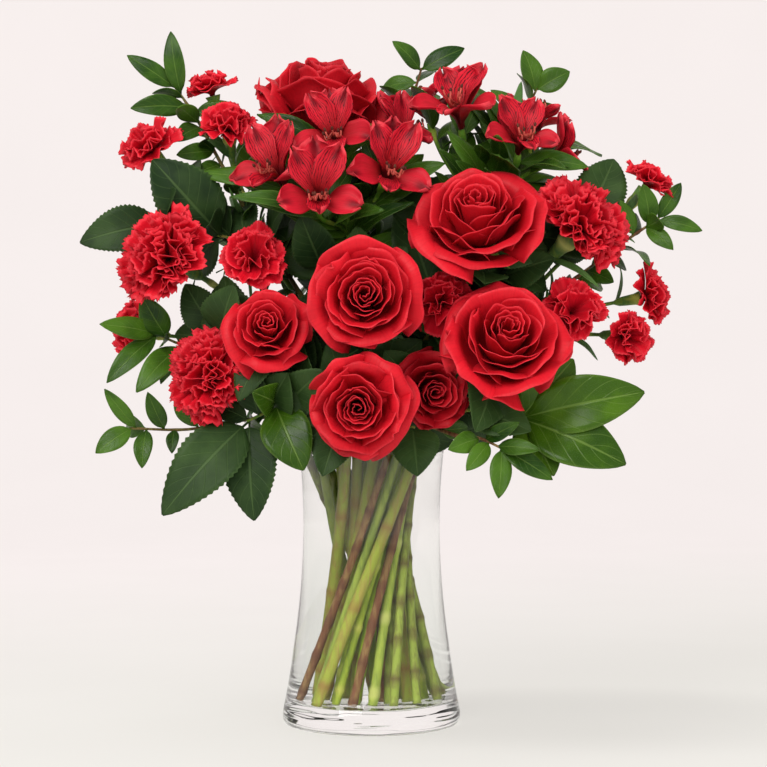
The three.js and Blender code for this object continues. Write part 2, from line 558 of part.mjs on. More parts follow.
// What `make` gives for the first of the bends whose wide solid is clear of every other node.
function firstClear(owner, bends, make) {
  for (const bend of bends) {
    const made = make(bend);
    if (!meetsOthers(owner, made.wide)) return made;
  }
  return null;
}

const blooms = new Map();

BLOOMS.forEach(([name, kind, ...placing], number) => {
  const build = BUILDS[kind];
  const bloom = seated(kind, build, ...placing);
  blooms.set(name, bloom);
  const core = scaled(build.core, bloom.radius, bloom.radius * build.height);
  addPiece(name, turned(core, build.coreSides, bloom.axes, bloom.seat));
  build.whorls.forEach((whorl, ring) => {
    for (let k = 0; k < whorl.count; k++) {
      const seed = number * 100 + ring * 20 + k;
      const middle = whorl.start + (360 * k) / whorl.count;
      const make = build.lip ? frilledPetal : cuppedPetal;
      addPiece(name, make(build, whorl, middle, bloom, seed));
    }
  });
});

for (const [name, ...placing] of FLORETS) {
  const floret = seated("alstroemeria", FLORET, ...placing);
  blooms.set(name, floret);
  const core = scaled(FLORET.core, floret.radius, floret.radius * FLORET.height);
  addPiece(name, turned(core, FLORET.coreSides, floret.axes, floret.seat));
  for (const kind of FLORET.tepals) {
    for (let k = 0; k < kind.count; k++) {
      addPiece(name, tepal(kind, kind.start + (360 * k) / kind.count, floret));
    }
  }
}

const floor = VASE_INSIDE.at(-1)[1];
addPiece("vase", turned([[0, 0], ...VASE_OUTSIDE, ...VASE_INSIDE, [0, floor]], VASE_SIDES));

// The calyx of a bloom, from the top of its stem to just under its seat.
function calyxOf(name) {
  const bloom = blooms.get(name);
  const profile = CALYXES[bloom.kind];
  const points = profile.map(([down]) => bloom.seat.clone().addScaledVector(bloom.axes.z, -down));
  return { points, radii: profile.map(([, radius]) => radius), axis: bloom.axes.z };
}

// Where a plant's stem ends: at its fork, at the start of its own line or at its one bloom.
function endOf(plant) {
  if (plant.fork) return vector(plant.fork);
  if (plant.line) return vector(plant.line[0]);
  return calyxOf(plant.blooms[0]).points[0];
}

// Neck places, pushed apart until every two stems clear each other all the way down the vase.
function settleNeck() {
  const places = PLANTS.map((plant) => {
    const aim = endOf(plant).sub(new THREE.Vector3(0, 0, SPIRAL.neck));
    const polar = THREE.MathUtils.radToDeg(Math.acos(aim.z / aim.length()));
    const azimuth = Math.atan2(aim.y, aim.x) - radians(SPIRAL.lag);
    const distance = SPIRAL.reach * Math.min(1, polar / SPIRAL.widest);
    return new THREE.Vector2(distance * Math.cos(azimuth), distance * Math.sin(azimuth));
  });
  for (let round = 0; round < NECK_ROOM.rounds; round++) {
    for (let i = 0; i < places.length; i++) {
      for (let j = 0; j < i; j++) {
        const thick = STEMS[PLANTS[i].kind].foot + STEMS[PLANTS[j].kind].foot;
        const apart = places[i].clone().sub(places[j]);
        const short = thick * NECK_ROOM.share + NECK_ROOM.gap - apart.length();
        if (short <= 0) continue;
        apart.setLength(short / 2);
        places[i].add(apart);
        places[j].sub(apart);
      }
    }
    places.forEach((place, i) => {
      place.x += NECK_ROOM.drift;
      place.clampLength(0, NECK_ROOM.radius - STEMS[PLANTS[i].kind].foot);
    });
  }
  return places;
}

// A curve that leaves `start` along `out` and arrives at `end` along `into`, pushed aside by `bend`.
function stemCurve(start, out, end, into, bend) {
  const reach = CURVE.leave * start.distanceTo(end);
  const across = facing(end.clone().sub(start));
  const push = across.x.clone().multiplyScalar(bend[0]).addScaledVector(across.y, bend[1]);
  const first = start.clone().addScaledVector(out, reach).add(push);
  const second = end.clone().addScaledVector(into, -Math.min(reach, CURVE.arrive)).add(push);
  return new THREE.CubicBezierCurve3(start, first, second, end);
}

const stemHoles = [];
const lines = new Map();

// A stem from the floor of the vase to what it carries, and the hole it makes in the water.
function growStem(plant, place) {
  const size = STEMS[plant.kind];
  const foot = place.clone().multiplyScalar(SPIRAL.spread);
  foot.rotateAround(new THREE.Vector2(), radians(SPIRAL.turn)).add(new THREE.Vector2(...SPIRAL.shift));
  const bottom = new THREE.Vector3(foot.x, foot.y, floor + FIT_GAP);
  const neck = new THREE.Vector3(place.x, place.y, SPIRAL.neck);
  const lean = neck.clone().sub(bottom).normalize();
  const end = endOf(plant);
  const line = (plant.line ?? []).slice(1).map(vector);
  const calyx = plant.fork || plant.line ? null : calyxOf(plant.blooms[0]);
  const into = calyx ? calyx.axis : (line[0] ?? end).clone().sub(line[0] ? end : neck).normalize();
  const made = firstClear(plant.name, STEM_BENDS, (bend) => {
    const curve = stemCurve(neck, lean, end, into, bend).getPoints(CURVE.steps);
    const points = [bottom, ...curve, ...line];
    const radii = [size.foot, ...tapered(size.neck, size.top, points.length - 1)];
    return { points, radii, wide: bar(points, widened(radii), size.sides, true) };
  });
  if (!made) throw new Error(plant.name + " finds no clear way up");
  const { points, radii } = made;
  lines.set(plant.name, [points.slice(1)]);
  if (calyx) {
    points.push(...calyx.points.slice(1));
    radii.push(...calyx.radii.slice(1));
  }
  addPiece(plant.name, bar(points, radii, size.sides, true));
  const below = bottom.clone().addScaledVector(lean, -HOLE_DEPTH);
  stemHoles.push(bar([below, neck], [size.foot + STEM_HOLE_GAP, size.neck + STEM_HOLE_GAP], size.sides));
}

// A branch from a plant's fork to one of its blooms.
function growBranch(plant, name, number) {
  const size = STEMS[plant.kind];
  const calyx = calyxOf(name);
  const [below, top] = lines.get(plant.name)[0].slice(-2);
  const start = top.clone().add(below.clone().sub(top).setLength(BRANCH.depth + number * size.stagger));
  const end = calyx.points[0];
  const out = end.clone().sub(start).normalize().lerp(UP, BRANCH.rise).normalize();
  const made = firstClear(plant.name, STEM_BENDS, (bend) => {
    const points = stemCurve(start, out, end, calyx.axis, bend).getPoints(BRANCH.steps);
    const radii = tapered(calyx.radii[0] + BRANCH.flare, calyx.radii[0], points.length);
    return { points, radii, wide: bar(points, widened(radii), BRANCH.sides) };
  });
  if (!made) throw new Error(plant.name + " finds no clear way to " + name);
  lines.get(plant.name).push(made.points);
  const radii = [...made.radii, ...calyx.radii.slice(1)];
  addPiece(plant.name, bar([...made.points, ...calyx.points.slice(1)], radii, BRANCH.sides));
}

// The nearest point to `target` on a plant's stem, branches and twigs.
function nearestOn(plant, target) {
  let best = null;
  for (const points of lines.get(plant.name)) {
    for (let i = 1; i < points.length; i++) {
      const run = new THREE.Line3(points[i - 1], points[i]);
      const spot = run.closestPointToPoint(target, true, new THREE.Vector3());
      if (!best || spot.distanceTo(target) < best.distanceTo(target)) best = spot;
    }
    if (best === null || best.distanceTo(points.at(-1)) > ROOT_DEPTH) continue;
    const back = points.at(-2).clone().sub(points.at(-1)).setLength(ROOT_DEPTH);
    best = points.at(-1).clone().add(back);
  }
  return best;
}

// A side twig, which leaves the stem part of the way up and carries leaves.
function growTwig(plant, twig) {
  const stem = lines.get(plant.name)[0];
  const start = stem[Math.round(twig.from * (stem.length - 1))];
  const line = twig.line.map(vector);
  const made = firstClear(plant.name, STEM_BENDS, (bend) => {
    const middle = start.clone().lerp(line[0], 0.5);
    middle.add(new THREE.Vector3(bend[0], 0, bend[1]).multiplyScalar(TWIG.push));
    const points = [start, middle, ...line];
    const radii = tapered(TWIG.start, TWIG.end, points.length);
    return { points, wide: bar(points, widened(radii), TWIG.sides), solid: bar(points, radii, TWIG.sides) };
  });
  if (!made) throw new Error(plant.name + " finds no clear way for a twig");
  lines.get(plant.name).push(made.points);
  addPiece(plant.name, made.solid);
  twig.leaves.forEach((leaf) => growLeaf(plant, twig.form, leaf));
}

// A leaf from its root on the stem to its tip, swung [round, up] by degrees.
function leafBlade(root, tip, width, form, swing, thickness) {
  const outward = new THREE.Vector3(root.x, root.y, 0).normalize().lerp(UP, LEAF_LIFT);
  const reach = tip.clone().sub(root);
  reach.applyAxisAngle(reach.clone().cross(outward).normalize(), radians(swing[1]));
  reach.applyAxisAngle(UP, radians(swing[0]));
  const length = reach.length();
  const along = reach.clone().normalize();
  const side = along.clone().cross(outward).normalize();
  const face = side.clone().cross(along);
  const row = (v, half) =>
    [-1, 0, 1].map((u) => {
      const lift = LEAF_FOLD * half * Math.abs(u) + LEAF_ARCH * length * Math.sin(Math.PI * v);
      const point = root.clone().addScaledVector(along, v * length);
      return point.addScaledVector(side, u * half).addScaledVector(face, lift);
    });
  const stations = LEAF_FORMS[form].map(([v, share]) => row(v, (share * width) / 2));
  return blade([[root], ...stations, [root.clone().add(reach)]], thickness);
}

function growLeaf(plant, form, [base, tip, width]) {
  const root = nearestOn(plant, vector(base));
  const made = firstClear(plant.name, LEAF_BENDS, (swing) => ({
    wide: leafBlade(root, vector(tip), width + 2 * CLEARANCE, form, swing, LEAF + 2 * CLEARANCE),
    solid: leafBlade(root, vector(tip), width, form, swing, LEAF),
  }));
  if (made) addPiece(plant.name, made.solid);
}

for (const plant of PLANTS) {
  for (const name of plant.blooms ?? []) {
    const calyx = calyxOf(name);
    addPiece(plant.name, bar(calyx.points, widened(calyx.radii), STEMS[plant.kind].sides), true);
  }
}
const places = settleNeck();
PLANTS.forEach((plant, i) => growStem(plant, places[i]));
for (const plant of PLANTS) {
  if (plant.fork) plant.blooms.forEach((name, number) => growBranch(plant, name, number));
}
for (const plant of PLANTS) {
  (plant.twigs ?? []).forEach((twig) => growTwig(plant, twig));
  (plant.leaves ?? []).forEach((leaf) => growLeaf(plant, plant.form, leaf));
}

// The water fills the vase to its level, round the stems, with a fine gap to the glass.
function waterBody() {
  const wall = VASE_INSIDE.filter(([, z]) => z < WATER_LEVEL).map(([r, z]) => [r - FIT_GAP, z]).reverse();
  wall[0] = [wall[0][0] - FIT_GAP, floor + FIT_GAP];
  const above = VASE_INSIDE.findLastIndex(([, z]) => z >= WATER_LEVEL);
  const [[r1, z1], [r2, z2]] = [VASE_INSIDE[above], VASE_INSIDE[above + 1]];
  const brim = mix(r2, r1, (WATER_LEVEL - z2) / (z1 - z2)) - FIT_GAP;
  const full = turned([[0, floor + FIT_GAP], ...wall, [brim, WATER_LEVEL], [0, WATER_LEVEL]], VASE_SIDES);
  return stemHoles.reduce((water, hole) => water.subtract(hole), full);
}
addPiece("water", waterBody());

function finishOf(name) {
  const ending = name.split("_").at(-1);
  return FINISHES[name] ?? FINISHES[blooms.get(name)?.kind] ?? FINISHES[ending] ?? FINISHES.sprig;
}

const bouquet = new THREE.Group();
for (const owner of new Set(pieces.map((piece) => piece.owner))) {
  const own = pieces.filter((piece) => piece.owner === owner && !piece.reserved);
  const solid = Manifold.union(own.map((piece) => piece.solid));
  const { vertProperties, triVerts, numProp } = solid.getMesh();
  const positions = new Float32Array(solid.numVert() * 3);
  for (let i = 0; i < solid.numVert(); i++) {
    positions.set(vertProperties.subarray(i * numProp, i * numProp + 3), i * 3);
  }
  const geometry = new THREE.BufferGeometry();
  geometry.setAttribute("position", new THREE.BufferAttribute(positions, 3));
  geometry.setIndex(new THREE.BufferAttribute(new Uint32Array(triVerts), 1));
  const mesh = new THREE.Mesh(geometry, new THREE.MeshStandardMaterial({ metalness: 0, ...finishOf(owner) }));
  mesh.name = owner;
  bouquet.add(mesh);
}

export default bouquet;
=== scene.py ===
"""The looks of a full bouquet of red flowers in a flared glass vase of water.

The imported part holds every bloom, stem, sprig, leaf and the vase at its real size and place. This
script grows the same plants again from the same named places, reads off the part which way each
stem and leaf was bent, and puts fine petals, leaves, stems, glass and water where the part's plain
solids are. Places in the tables are millimetres in the part's own frame, +Z up and -Y to the front.
"""

from __future__ import annotations

import sys
import logging
from dataclasses import dataclass, field
from enum import Enum
from math import acos, atan2, cos, degrees, exp, hypot, pi, radians, sin, sqrt
from typing import Callable, Sequence

import bmesh
import bpy
import numpy as np
from mathutils import Matrix, Quaternion, Vector


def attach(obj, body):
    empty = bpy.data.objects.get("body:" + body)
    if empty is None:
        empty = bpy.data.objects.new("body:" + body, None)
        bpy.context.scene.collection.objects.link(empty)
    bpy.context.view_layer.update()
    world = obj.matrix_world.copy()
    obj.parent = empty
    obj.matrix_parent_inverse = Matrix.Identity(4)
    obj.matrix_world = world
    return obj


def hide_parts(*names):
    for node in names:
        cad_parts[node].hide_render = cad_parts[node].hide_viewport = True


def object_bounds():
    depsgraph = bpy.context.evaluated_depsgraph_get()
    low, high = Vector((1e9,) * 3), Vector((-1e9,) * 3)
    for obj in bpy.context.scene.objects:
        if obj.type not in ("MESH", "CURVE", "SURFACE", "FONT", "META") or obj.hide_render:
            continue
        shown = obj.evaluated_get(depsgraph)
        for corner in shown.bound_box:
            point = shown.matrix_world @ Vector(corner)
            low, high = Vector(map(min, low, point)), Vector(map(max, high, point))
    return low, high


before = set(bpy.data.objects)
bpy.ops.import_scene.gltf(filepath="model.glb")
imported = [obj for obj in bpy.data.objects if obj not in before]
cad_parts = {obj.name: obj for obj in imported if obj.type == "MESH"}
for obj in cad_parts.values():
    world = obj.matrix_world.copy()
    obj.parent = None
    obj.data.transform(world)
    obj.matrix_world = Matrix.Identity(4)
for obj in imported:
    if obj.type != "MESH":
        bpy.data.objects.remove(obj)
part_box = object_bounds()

log = logging.getLogger("bouquet")

MM = 0.001
GOLDEN_TURN = radians(137.508)
UP = Vector((0, 0, 1))
BACK = Vector((0, 1, 0))
STEEP = 0.9
NUDGE = 0.01

Pair = tuple[float, float]
Colour = tuple[float, float, float]
Place = tuple[float, float, float]
Row = tuple[Place, Place, float]
Profile = Sequence[Pair]
Run = tuple[list[Vector], list[float]]
Probe = tuple[Vector, float]
Shape = Callable[[float, float], Vector]
Socket = bpy.types.NodeSocket
Material = bpy.types.Material


class Kind(Enum):
    """The kinds of stem in the vase."""

    ROSE = "rose"
    CARNATION = "carnation"
    SPRAY = "spray"
    ALSTROEMERIA = "alstroemeria"
    WOODY = "woody"
    STALK = "stalk"


class Form(Enum):
    """The outlines that a leaf can have."""

    ROSE = "rose"
    SPRIG = "sprig"
    STRAP = "strap"
    LOBE = "lobe"


@dataclass(frozen=True)
class Flower:
    """One bloom or floret as the part places it.

    Attributes:
        middle: its stated middle, in millimetres.
        across: its diameter in millimetres.
        turn: degrees turned about its own axis.
    """

    name: str
    kind: Kind
    middle: Place
    facing: Place
    across: float
    turn: float


@dataclass(frozen=True)
class Leaf:
    """One leaf as the part places it, from base to tip, with its full width in millimetres."""

    base: Place
    tip: Place
    width: float


@dataclass(frozen=True)
class Twig:
    """A side twig: how far up the stem it begins, where it runs, and its leaves and their form."""

    share: float
    line: tuple[Place, ...]
    form: Form
    leaves: tuple[Leaf, ...]


@dataclass(frozen=True)
class Plant:
    """One stem in the vase with all that it carries, as the part places it.

    Attributes:
        fork: where it branches to its blooms.
        line: the places that a shoot runs through above the vase.
        form: the outline of the leaves on the stem itself.
    """

    name: str
    kind: Kind
    blooms: tuple[str, ...] = ()
    fork: Place | None = None
    line: tuple[Place, ...] = ()
    form: Form = Form.STRAP
    leaves: tuple[Leaf, ...] = ()
    twigs: tuple[Twig, ...] = ()


def flower_rows(stem: str, kind: Kind, *rows: tuple[Place, Place, float, float]) -> list[Flower]:
    """Flowers of one kind, numbered from 1, from rows of middle, facing, diameter and turn."""
    return [Flower(f"{stem}_{number}", kind, *row) for number, row in enumerate(rows, 1)]


def leaf_rows(*rows: Row) -> tuple[Leaf, ...]:
    """Leaves from rows of base, tip and width."""
    return tuple(Leaf(*row) for row in rows)


def side_twig(share: float, line: Sequence[Place], *rows: Row, form: Form = Form.ROSE) -> Twig:
    """A side twig from its place on the stem, its line and rows of its leaves."""
    return Twig(share, tuple(line), form, leaf_rows(*rows))


def rose_plant(bloom: str, *twigs: Twig) -> Plant:
    """The stem of one rose with its side twigs."""
    return Plant(f"{bloom}_stem", Kind.ROSE, (bloom,), twigs=twigs)


def shoot_plant(name: str, kind: Kind, form: Form, line: Sequence[Place], *rows: Row) -> Plant:
    """A shoot or stalk without a bloom, from its line above the vase and rows of its leaves."""
    return Plant(name, kind, line=tuple(line), form=form, leaves=leaf_rows(*rows))


FLOWERS = (
    *flower_rows(
        "rose", Kind.ROSE,
        ((-4, -92, 295), (0, -1, 0.12), 74, 0),
        ((71, -72, 350), (-0.08, -0.72, 0.7), 80, 15),
        ((89, -90, 268), (0.1, -0.87, 0.45), 78, 40),
        ((-8, -104, 222), (-0.04, -1, -0.04), 68, 20),
        ((42, -56, 232), (0.2, -0.96, -0.05), 56, 60),
        ((-68, -82, 275), (-0.05, -0.93, 0.32), 56, 30),
        ((-34, 16, 441), (0.1, -0.25, 0.96), 92, 10),
    ),
    *flower_rows(
        "carnation", Kind.CARNATION,
        ((-147, -40, 328), (-0.62, -0.62, 0.35), 68, 0),
        ((-114, -58, 243), (-0.62, -0.77, 0.1), 62, 20),
        ((149, -45, 350), (0.6, -0.53, 0.6), 68, 10),
    ),
    *flower_rows(
        "spray_bloom", Kind.SPRAY,
        ((-116, 30, 452), (-0.25, -0.2, 0.94), 36, 0),
        ((-158, 0, 406), (-0.5, -0.45, 0.6), 46, 30),
        ((-101, -5, 421), (-0.1, -0.55, 0.8), 42, 60),
        ((-80, -58, 325), (-0.1, -0.85, 0.5), 48, 15),
        ((-172, 8, 275), (-0.8, -0.3, 0.1), 44, 45),
        ((47, -60, 294), (0.05, -0.95, 0.2), 42, 25),
        ((137, -58, 289), (0.2, -0.85, 0.4), 44, 50),
        ((178, -32, 270), (0.6, -0.75, -0.05), 42, 10),
        ((198, -6, 299), (0.9, -0.4, 0.15), 42, 35),
        ((197, 0, 382), (0.6, -0.25, 0.75), 40, 20),
    ),
    *flower_rows(
        "floret", Kind.ALSTROEMERIA,
        ((-68, -45, 386), (-0.4, -0.7, 0.55), 56, 0),
        ((-35, -78, 366), (0.0, -0.9, 0.42), 56, 0),
        ((-26, -46, 410), (-0.12, -0.85, 0.5), 52, 10),
        ((14, -58, 384), (0.25, -0.85, 0.45), 56, -8),
        ((24, -16, 414), (0.5, -0.45, 0.75), 48, 20),
        ((59, -28, 432), (-0.15, -0.5, 0.86), 58, 0),
        ((36, 26, 438), (-0.3, 0.2, 0.9), 44, 60),
        ((103, -40, 409), (0.1, -0.7, 0.7), 52, 5),
        ((118, 18, 428), (0.2, 0.1, 0.95), 46, 40),
        ((136, -6, 400), (0.85, -0.1, 0.5), 42, 15),
    ),
)

PLANTS = (
    rose_plant(
        "rose_1",
        side_twig(0.55, [(-34, -26, 318)], ((-36, -28, 320), (-48, -50, 352), 30))),
    rose_plant(
        "rose_2",
        side_twig(0.6, [(112, -12, 338), (150, -4, 350)], ((153, -3, 352), (176, 2, 396), 36),
                  ((122, -12, 341), (128, 12, 372), 26)),
        side_twig(0.5, [(92, -34, 312)], ((94, -36, 313), (124, -54, 322), 28))),
    rose_plant(
        "rose_3",
        side_twig(0.35, [(70, -58, 220)], ((73, -60, 218), (106, -82, 206), 30)),
        side_twig(0.6, [(98, -30, 262)], ((101, -30, 263), (134, -28, 252), 28))),
    rose_plant(
        "rose_4",
        side_twig(0.45, [(-22, -62, 208)], ((-24, -64, 207), (-32, -80, 176), 28))),
    rose_plant(
        "rose_5",
        side_twig(0.35, [(29, -56, 208)], ((30, -59, 206), (31, -78, 176), 33))),
    rose_plant(
        "rose_6",
        side_twig(0.35, [(-62, -46, 222), (-84, -52, 212)],
                  ((-88, -53, 210), (-139, -72, 150), 42), ((-80, -54, 209), (-78, -68, 146), 38),
                  ((-86, -48, 214), (-108, -36, 224), 16)),
        side_twig(0.6, [(-92, -36, 262), (-108, -28, 272)],
                  ((-110, -27, 274), (-128, -26, 306), 28),
                  ((-98, -30, 264), (-136, -14, 272), 26))),
    rose_plant(
        "rose_7",
        side_twig(0.55, [(-66, -4, 334), (-104, -12, 340), (-146, -2, 350)],
                  ((-150, -2, 351), (-203, -8, 336), 34), ((-104, -12, 341), (-152, -12, 392), 46),
                  ((-104, -8, 338), (-130, 34, 318), 34)),
        side_twig(0.5, [(-18, 50, 336)], ((-18, 54, 338), (-30, 100, 352), 40),
                  ((-16, 50, 338), (12, 84, 366), 34))),
    Plant(
        "carnation_1_stem", Kind.CARNATION, ("carnation_1",),
        leaves=leaf_rows(((-78, -18, 285), (-92, -44, 306), 5),
                         ((-78, -18, 285), (-104, 4, 300), 5))),
    Plant(
        "carnation_2_stem", Kind.CARNATION, ("carnation_2",),
        leaves=leaf_rows(((-60, -30, 225), (-78, -22, 196), 5))),
    Plant(
        "carnation_3_stem", Kind.CARNATION, ("carnation_3",),
        leaves=leaf_rows(((80, -20, 285), (108, -34, 296), 5), ((80, -20, 285), (96, 8, 312), 5))),
    Plant(
        "spray_1_stem", Kind.SPRAY, ("spray_bloom_1", "spray_bloom_2", "spray_bloom_3"),
        fork=(-90, 6, 356),
        leaves=leaf_rows(((-90, 6, 356), (-104, -22, 372), 4))),
    Plant(
        "spray_2_stem", Kind.SPRAY, ("spray_bloom_4", "spray_bloom_5"),
        fork=(-72, -14, 262),
        leaves=leaf_rows(((-72, -14, 262), (-84, 14, 282), 4))),
    Plant(
        "spray_3_stem", Kind.SPRAY,
        ("spray_bloom_7", "spray_bloom_8", "spray_bloom_9", "spray_bloom_10"),
        fork=(106, -16, 266),
        leaves=leaf_rows(((106, -16, 266), (124, 10, 284), 4))),
    Plant(
        "spray_4_stem", Kind.SPRAY, ("spray_bloom_6",),
        leaves=leaf_rows(((20, -26, 262), (14, -46, 276), 4))),
    Plant(
        "alstroemeria_1_stem", Kind.ALSTROEMERIA,
        ("floret_1", "floret_2", "floret_3", "floret_4", "floret_5"),
        fork=(-16, -18, 346), form=Form.SPRIG,
        leaves=leaf_rows(((-16, -18, 346), (-52, -20, 366), 12),
                         ((-16, -18, 346), (8, 14, 372), 12))),
    Plant(
        "alstroemeria_2_stem", Kind.ALSTROEMERIA,
        ("floret_6", "floret_7", "floret_8", "floret_9", "floret_10"),
        fork=(74, -6, 362), form=Form.SPRIG,
        twigs=(side_twig(0.98, [(96, 2, 410)], ((97, 2, 412), (105, 0, 449), 9), form=Form.STRAP),),
        leaves=leaf_rows(((74, -6, 362), (112, -22, 356), 15), ((74, -6, 362), (52, 28, 386), 12))),
    shoot_plant(
        "sprig_1", Kind.WOODY, Form.SPRIG,
        [(-92, 6, 366), (-121, 20, 420), (-131, 26, 436), (-141, 30, 450)],
        ((-141, 30, 449), (-174, 24, 471), 14), ((-133, 28, 445), (-143, 24, 488), 15),
        ((-132, 24, 433), (-170, 12, 432), 16), ((-120, 20, 420), (-138, 4, 408), 14),
        ((-112, 14, 401), (-137, 4, 398), 13), ((-105, 12, 393), (-124, 2, 384), 11),
        ((-125, 24, 430), (-104, 40, 447), 13)),
    shoot_plant(
        "sprig_2", Kind.WOODY, Form.SPRIG,
        [(4, 40, 350), (16, 52, 405), (28, 55, 440), (36, 50, 466)],
        ((35, 50, 464), (15, 42, 484), 14), ((36, 50, 466), (67, 50, 480), 16),
        ((32, 52, 456), (6, 66, 452), 14), ((28, 55, 440), (50, 72, 448), 13),
        ((20, 53, 415), (44, 66, 420), 13)),
    shoot_plant(
        "sprig_3", Kind.WOODY, Form.SPRIG,
        [(70, 32, 340), (92, 46, 396), (108, 52, 428), (120, 52, 452)],
        ((118, 52, 449), (109, 46, 478), 18), ((120, 52, 452), (143, 48, 463), 18),
        ((108, 52, 430), (86, 50, 450), 12), ((92, 46, 396), (72, 60, 408), 13)),
    shoot_plant(
        "sprig_4", Kind.WOODY, Form.SPRIG,
        [(100, -4, 282), (145, 2, 313), (180, 0, 339), (201, -4, 353)],
        ((194, -4, 348), (200, -12, 377), 15), ((201, -4, 353), (221, -5, 374), 12),
        ((201, -4, 350), (230, -10, 344), 11), ((192, -2, 346), (209, -16, 330), 12),
        ((183, -2, 341), (173, -10, 365), 11), ((150, 2, 316), (168, -14, 308), 14)),
    shoot_plant(
        "sprig_5", Kind.WOODY, Form.SPRIG,
        [(42, -36, 208), (59, -53, 202), (73, -68, 201), (88, -80, 194)],
        ((68, -72, 211), (51, -86, 194), 15), ((78, -76, 203), (63, -86, 180), 13),
        ((86, -80, 195), (84, -90, 162), 15), ((87, -80, 195), (120, -86, 174), 15),
        ((84, -78, 199), (111, -94, 194), 12), ((76, -74, 207), (98, -88, 212), 11)),
    shoot_plant(
        "sprig_6", Kind.WOODY, Form.SPRIG,
        [(-60, -16, 216), (-91, -20, 212), (-127, -26, 206), (-166, -30, 207)],
        ((-161, -30, 207), (-182, -38, 234), 11), ((-166, -30, 207), (-188, -38, 190), 16),
        ((-142, -28, 206), (-152, -42, 232), 13), ((-154, -30, 206), (-156, -42, 180), 13),
        ((-135, -28, 206), (-136, -38, 190), 9)),
    shoot_plant(
        "sprig_7", Kind.WOODY, Form.SPRIG,
        [(-52, 4, 236), (-91, -2, 252), (-128, -10, 263), (-151, -14, 273)],
        ((-151, -14, 273), (-193, -24, 278), 16), ((-148, -14, 271), (-181, -34, 238), 16),
        ((-142, -14, 268), (-158, -26, 298), 20), ((-131, -14, 263), (-160, -40, 232), 19),
        ((-110, -14, 254), (-116, 12, 270), 14)),
    shoot_plant(
        "fatsia_leaf", Kind.STALK, Form.LOBE, [(62, -36, 222), (102, -58, 214)],
        ((102, -58, 214), (182, -74, 232), 38), ((102, -58, 214), (169, -80, 184), 40),
        ((102, -58, 214), (136, -62, 254), 34), ((102, -58, 214), (122, -72, 176), 32)),
    shoot_plant(
        "broad_leaf", Kind.STALK, Form.LOBE, [(-50, -44, 222), (-66, -58, 224)],
        ((-66, -58, 224), (-50, -84, 180), 34), ((-66, -58, 224), (-96, -76, 232), 24)),
    shoot_plant(
        "back_spray_1", Kind.WOODY, Form.LOBE,
        [(-34, 36, 250), (-58, 64, 296), (-72, 82, 344), (-78, 90, 378)],
        ((-34, 36, 250), (-66, 82, 240), 34), ((-48, 52, 276), (-104, 66, 290), 34),
        ((-58, 64, 296), (-58, 112, 300), 34), ((-66, 74, 322), (-118, 76, 346), 34),
        ((-72, 82, 344), (-58, 118, 366), 32), ((-78, 90, 378), (-94, 96, 424), 32)),
    shoot_plant(
        "back_spray_2", Kind.WOODY, Form.LOBE,
        [(34, 36, 250), (60, 62, 292), (80, 76, 336), (88, 82, 372)],
        ((34, 36, 250), (54, 84, 236), 34), ((50, 50, 274), (106, 66, 276), 34),
        ((60, 62, 292), (52, 110, 306), 34), ((72, 70, 318), (122, 70, 334), 34),
        ((80, 76, 336), (72, 118, 362), 32), ((88, 82, 372), (104, 84, 416), 32)),
    shoot_plant(
        "back_spray_3", Kind.WOODY, Form.LOBE, [(-2, 44, 244), (-4, 70, 268), (-2, 88, 290)],
        ((-2, 44, 244), (-14, 84, 216), 34), ((-4, 70, 268), (26, 98, 258), 30),
        ((-2, 88, 290), (-6, 122, 318), 34)),
)


def mix(a: float, b: float, share: float) -> float:
    """The value `share` of the way from a to b."""
    return a + (b - a) * share


def smooth(low: float, high: float, value: float) -> float:
    """0 below low, 1 above high, and an even rise between them."""
    share = min(1.0, max(0.0, (value - low) / (high - low)))
    return share * share * (3 - 2 * share)


def jitter(seed: float, k: float) -> float:
    """A repeatable draw between -1 and 1."""
    wave = sin(seed * 127.1 + k * 311.7) * 43758.5453
    return 2 * (wave % 1.0) - 1


def cubic(points: Profile, t: float) -> Pair:
    """A point of a cubic curve.

    Args:
        points: its four control points, as (out, up).
        t: how far along it, from 0 to 1.

    Returns:
        The point, as (out, up).
    """
    s = 1 - t
    weights = (s * s * s, 3 * s * s * t, 3 * s * t * t, t * t * t)
    return (
        sum(w * p[0] for w, p in zip(weights, points)),
        sum(w * p[1] for w, p in zip(weights, points)),
    )


def slope(points: Profile, t: float) -> Pair:
    """The direction of a cubic curve.

    Args:
        points: its four control points, as (out, up).
        t: how far along it, from 0 to 1.

    Returns:
        The unit direction, as (out, up).
    """
    (r0, z0), (r1, z1) = cubic(points, max(0.0, t - NUDGE)), cubic(points, min(1.0, t + NUDGE))
    length = hypot(r1 - r0, z1 - z0) or 1.0
    return (r1 - r0) / length, (z1 - z0) / length


def between(stages: Sequence[tuple[float, Profile]], share: float) -> Profile:
    """The profile at `share` between the stages that lie on either side of it.

    Args:
        stages: (share, profile) pairs in rising order.
        share: where the wanted profile lies.

    Returns:
        The four control points of the mixed profile.
    """
    for (low, first), (high, second) in zip(stages, stages[1:]):
        if share <= high:
            w = max(0.0, (share - low) / (high - low))
            return [(mix(a[0], b[0], w), mix(a[1], b[1], w)) for a, b in zip(first, second)]
    return stages[-1][1]


def facing(axis: Vector) -> tuple[Vector, Vector, Vector]:
    """Axes of something that faces along `axis`.

    Args:
        axis: the way it faces.

    Returns:
        x to the right of one who looks at it, y up, and z along the axis.
    """
    z = axis.normalized()
    x = (BACK if abs(z.z) > STEEP else UP).cross(z).normalized()
    return x, z.cross(x), z


def around(out: float, side: float, up: float, turn: float) -> Vector:
    """The point `out` from the axis and `side` across, at a height, turned about the axis."""
    return Vector((out * cos(turn) - side * sin(turn),
                   out * sin(turn) + side * cos(turn), up))


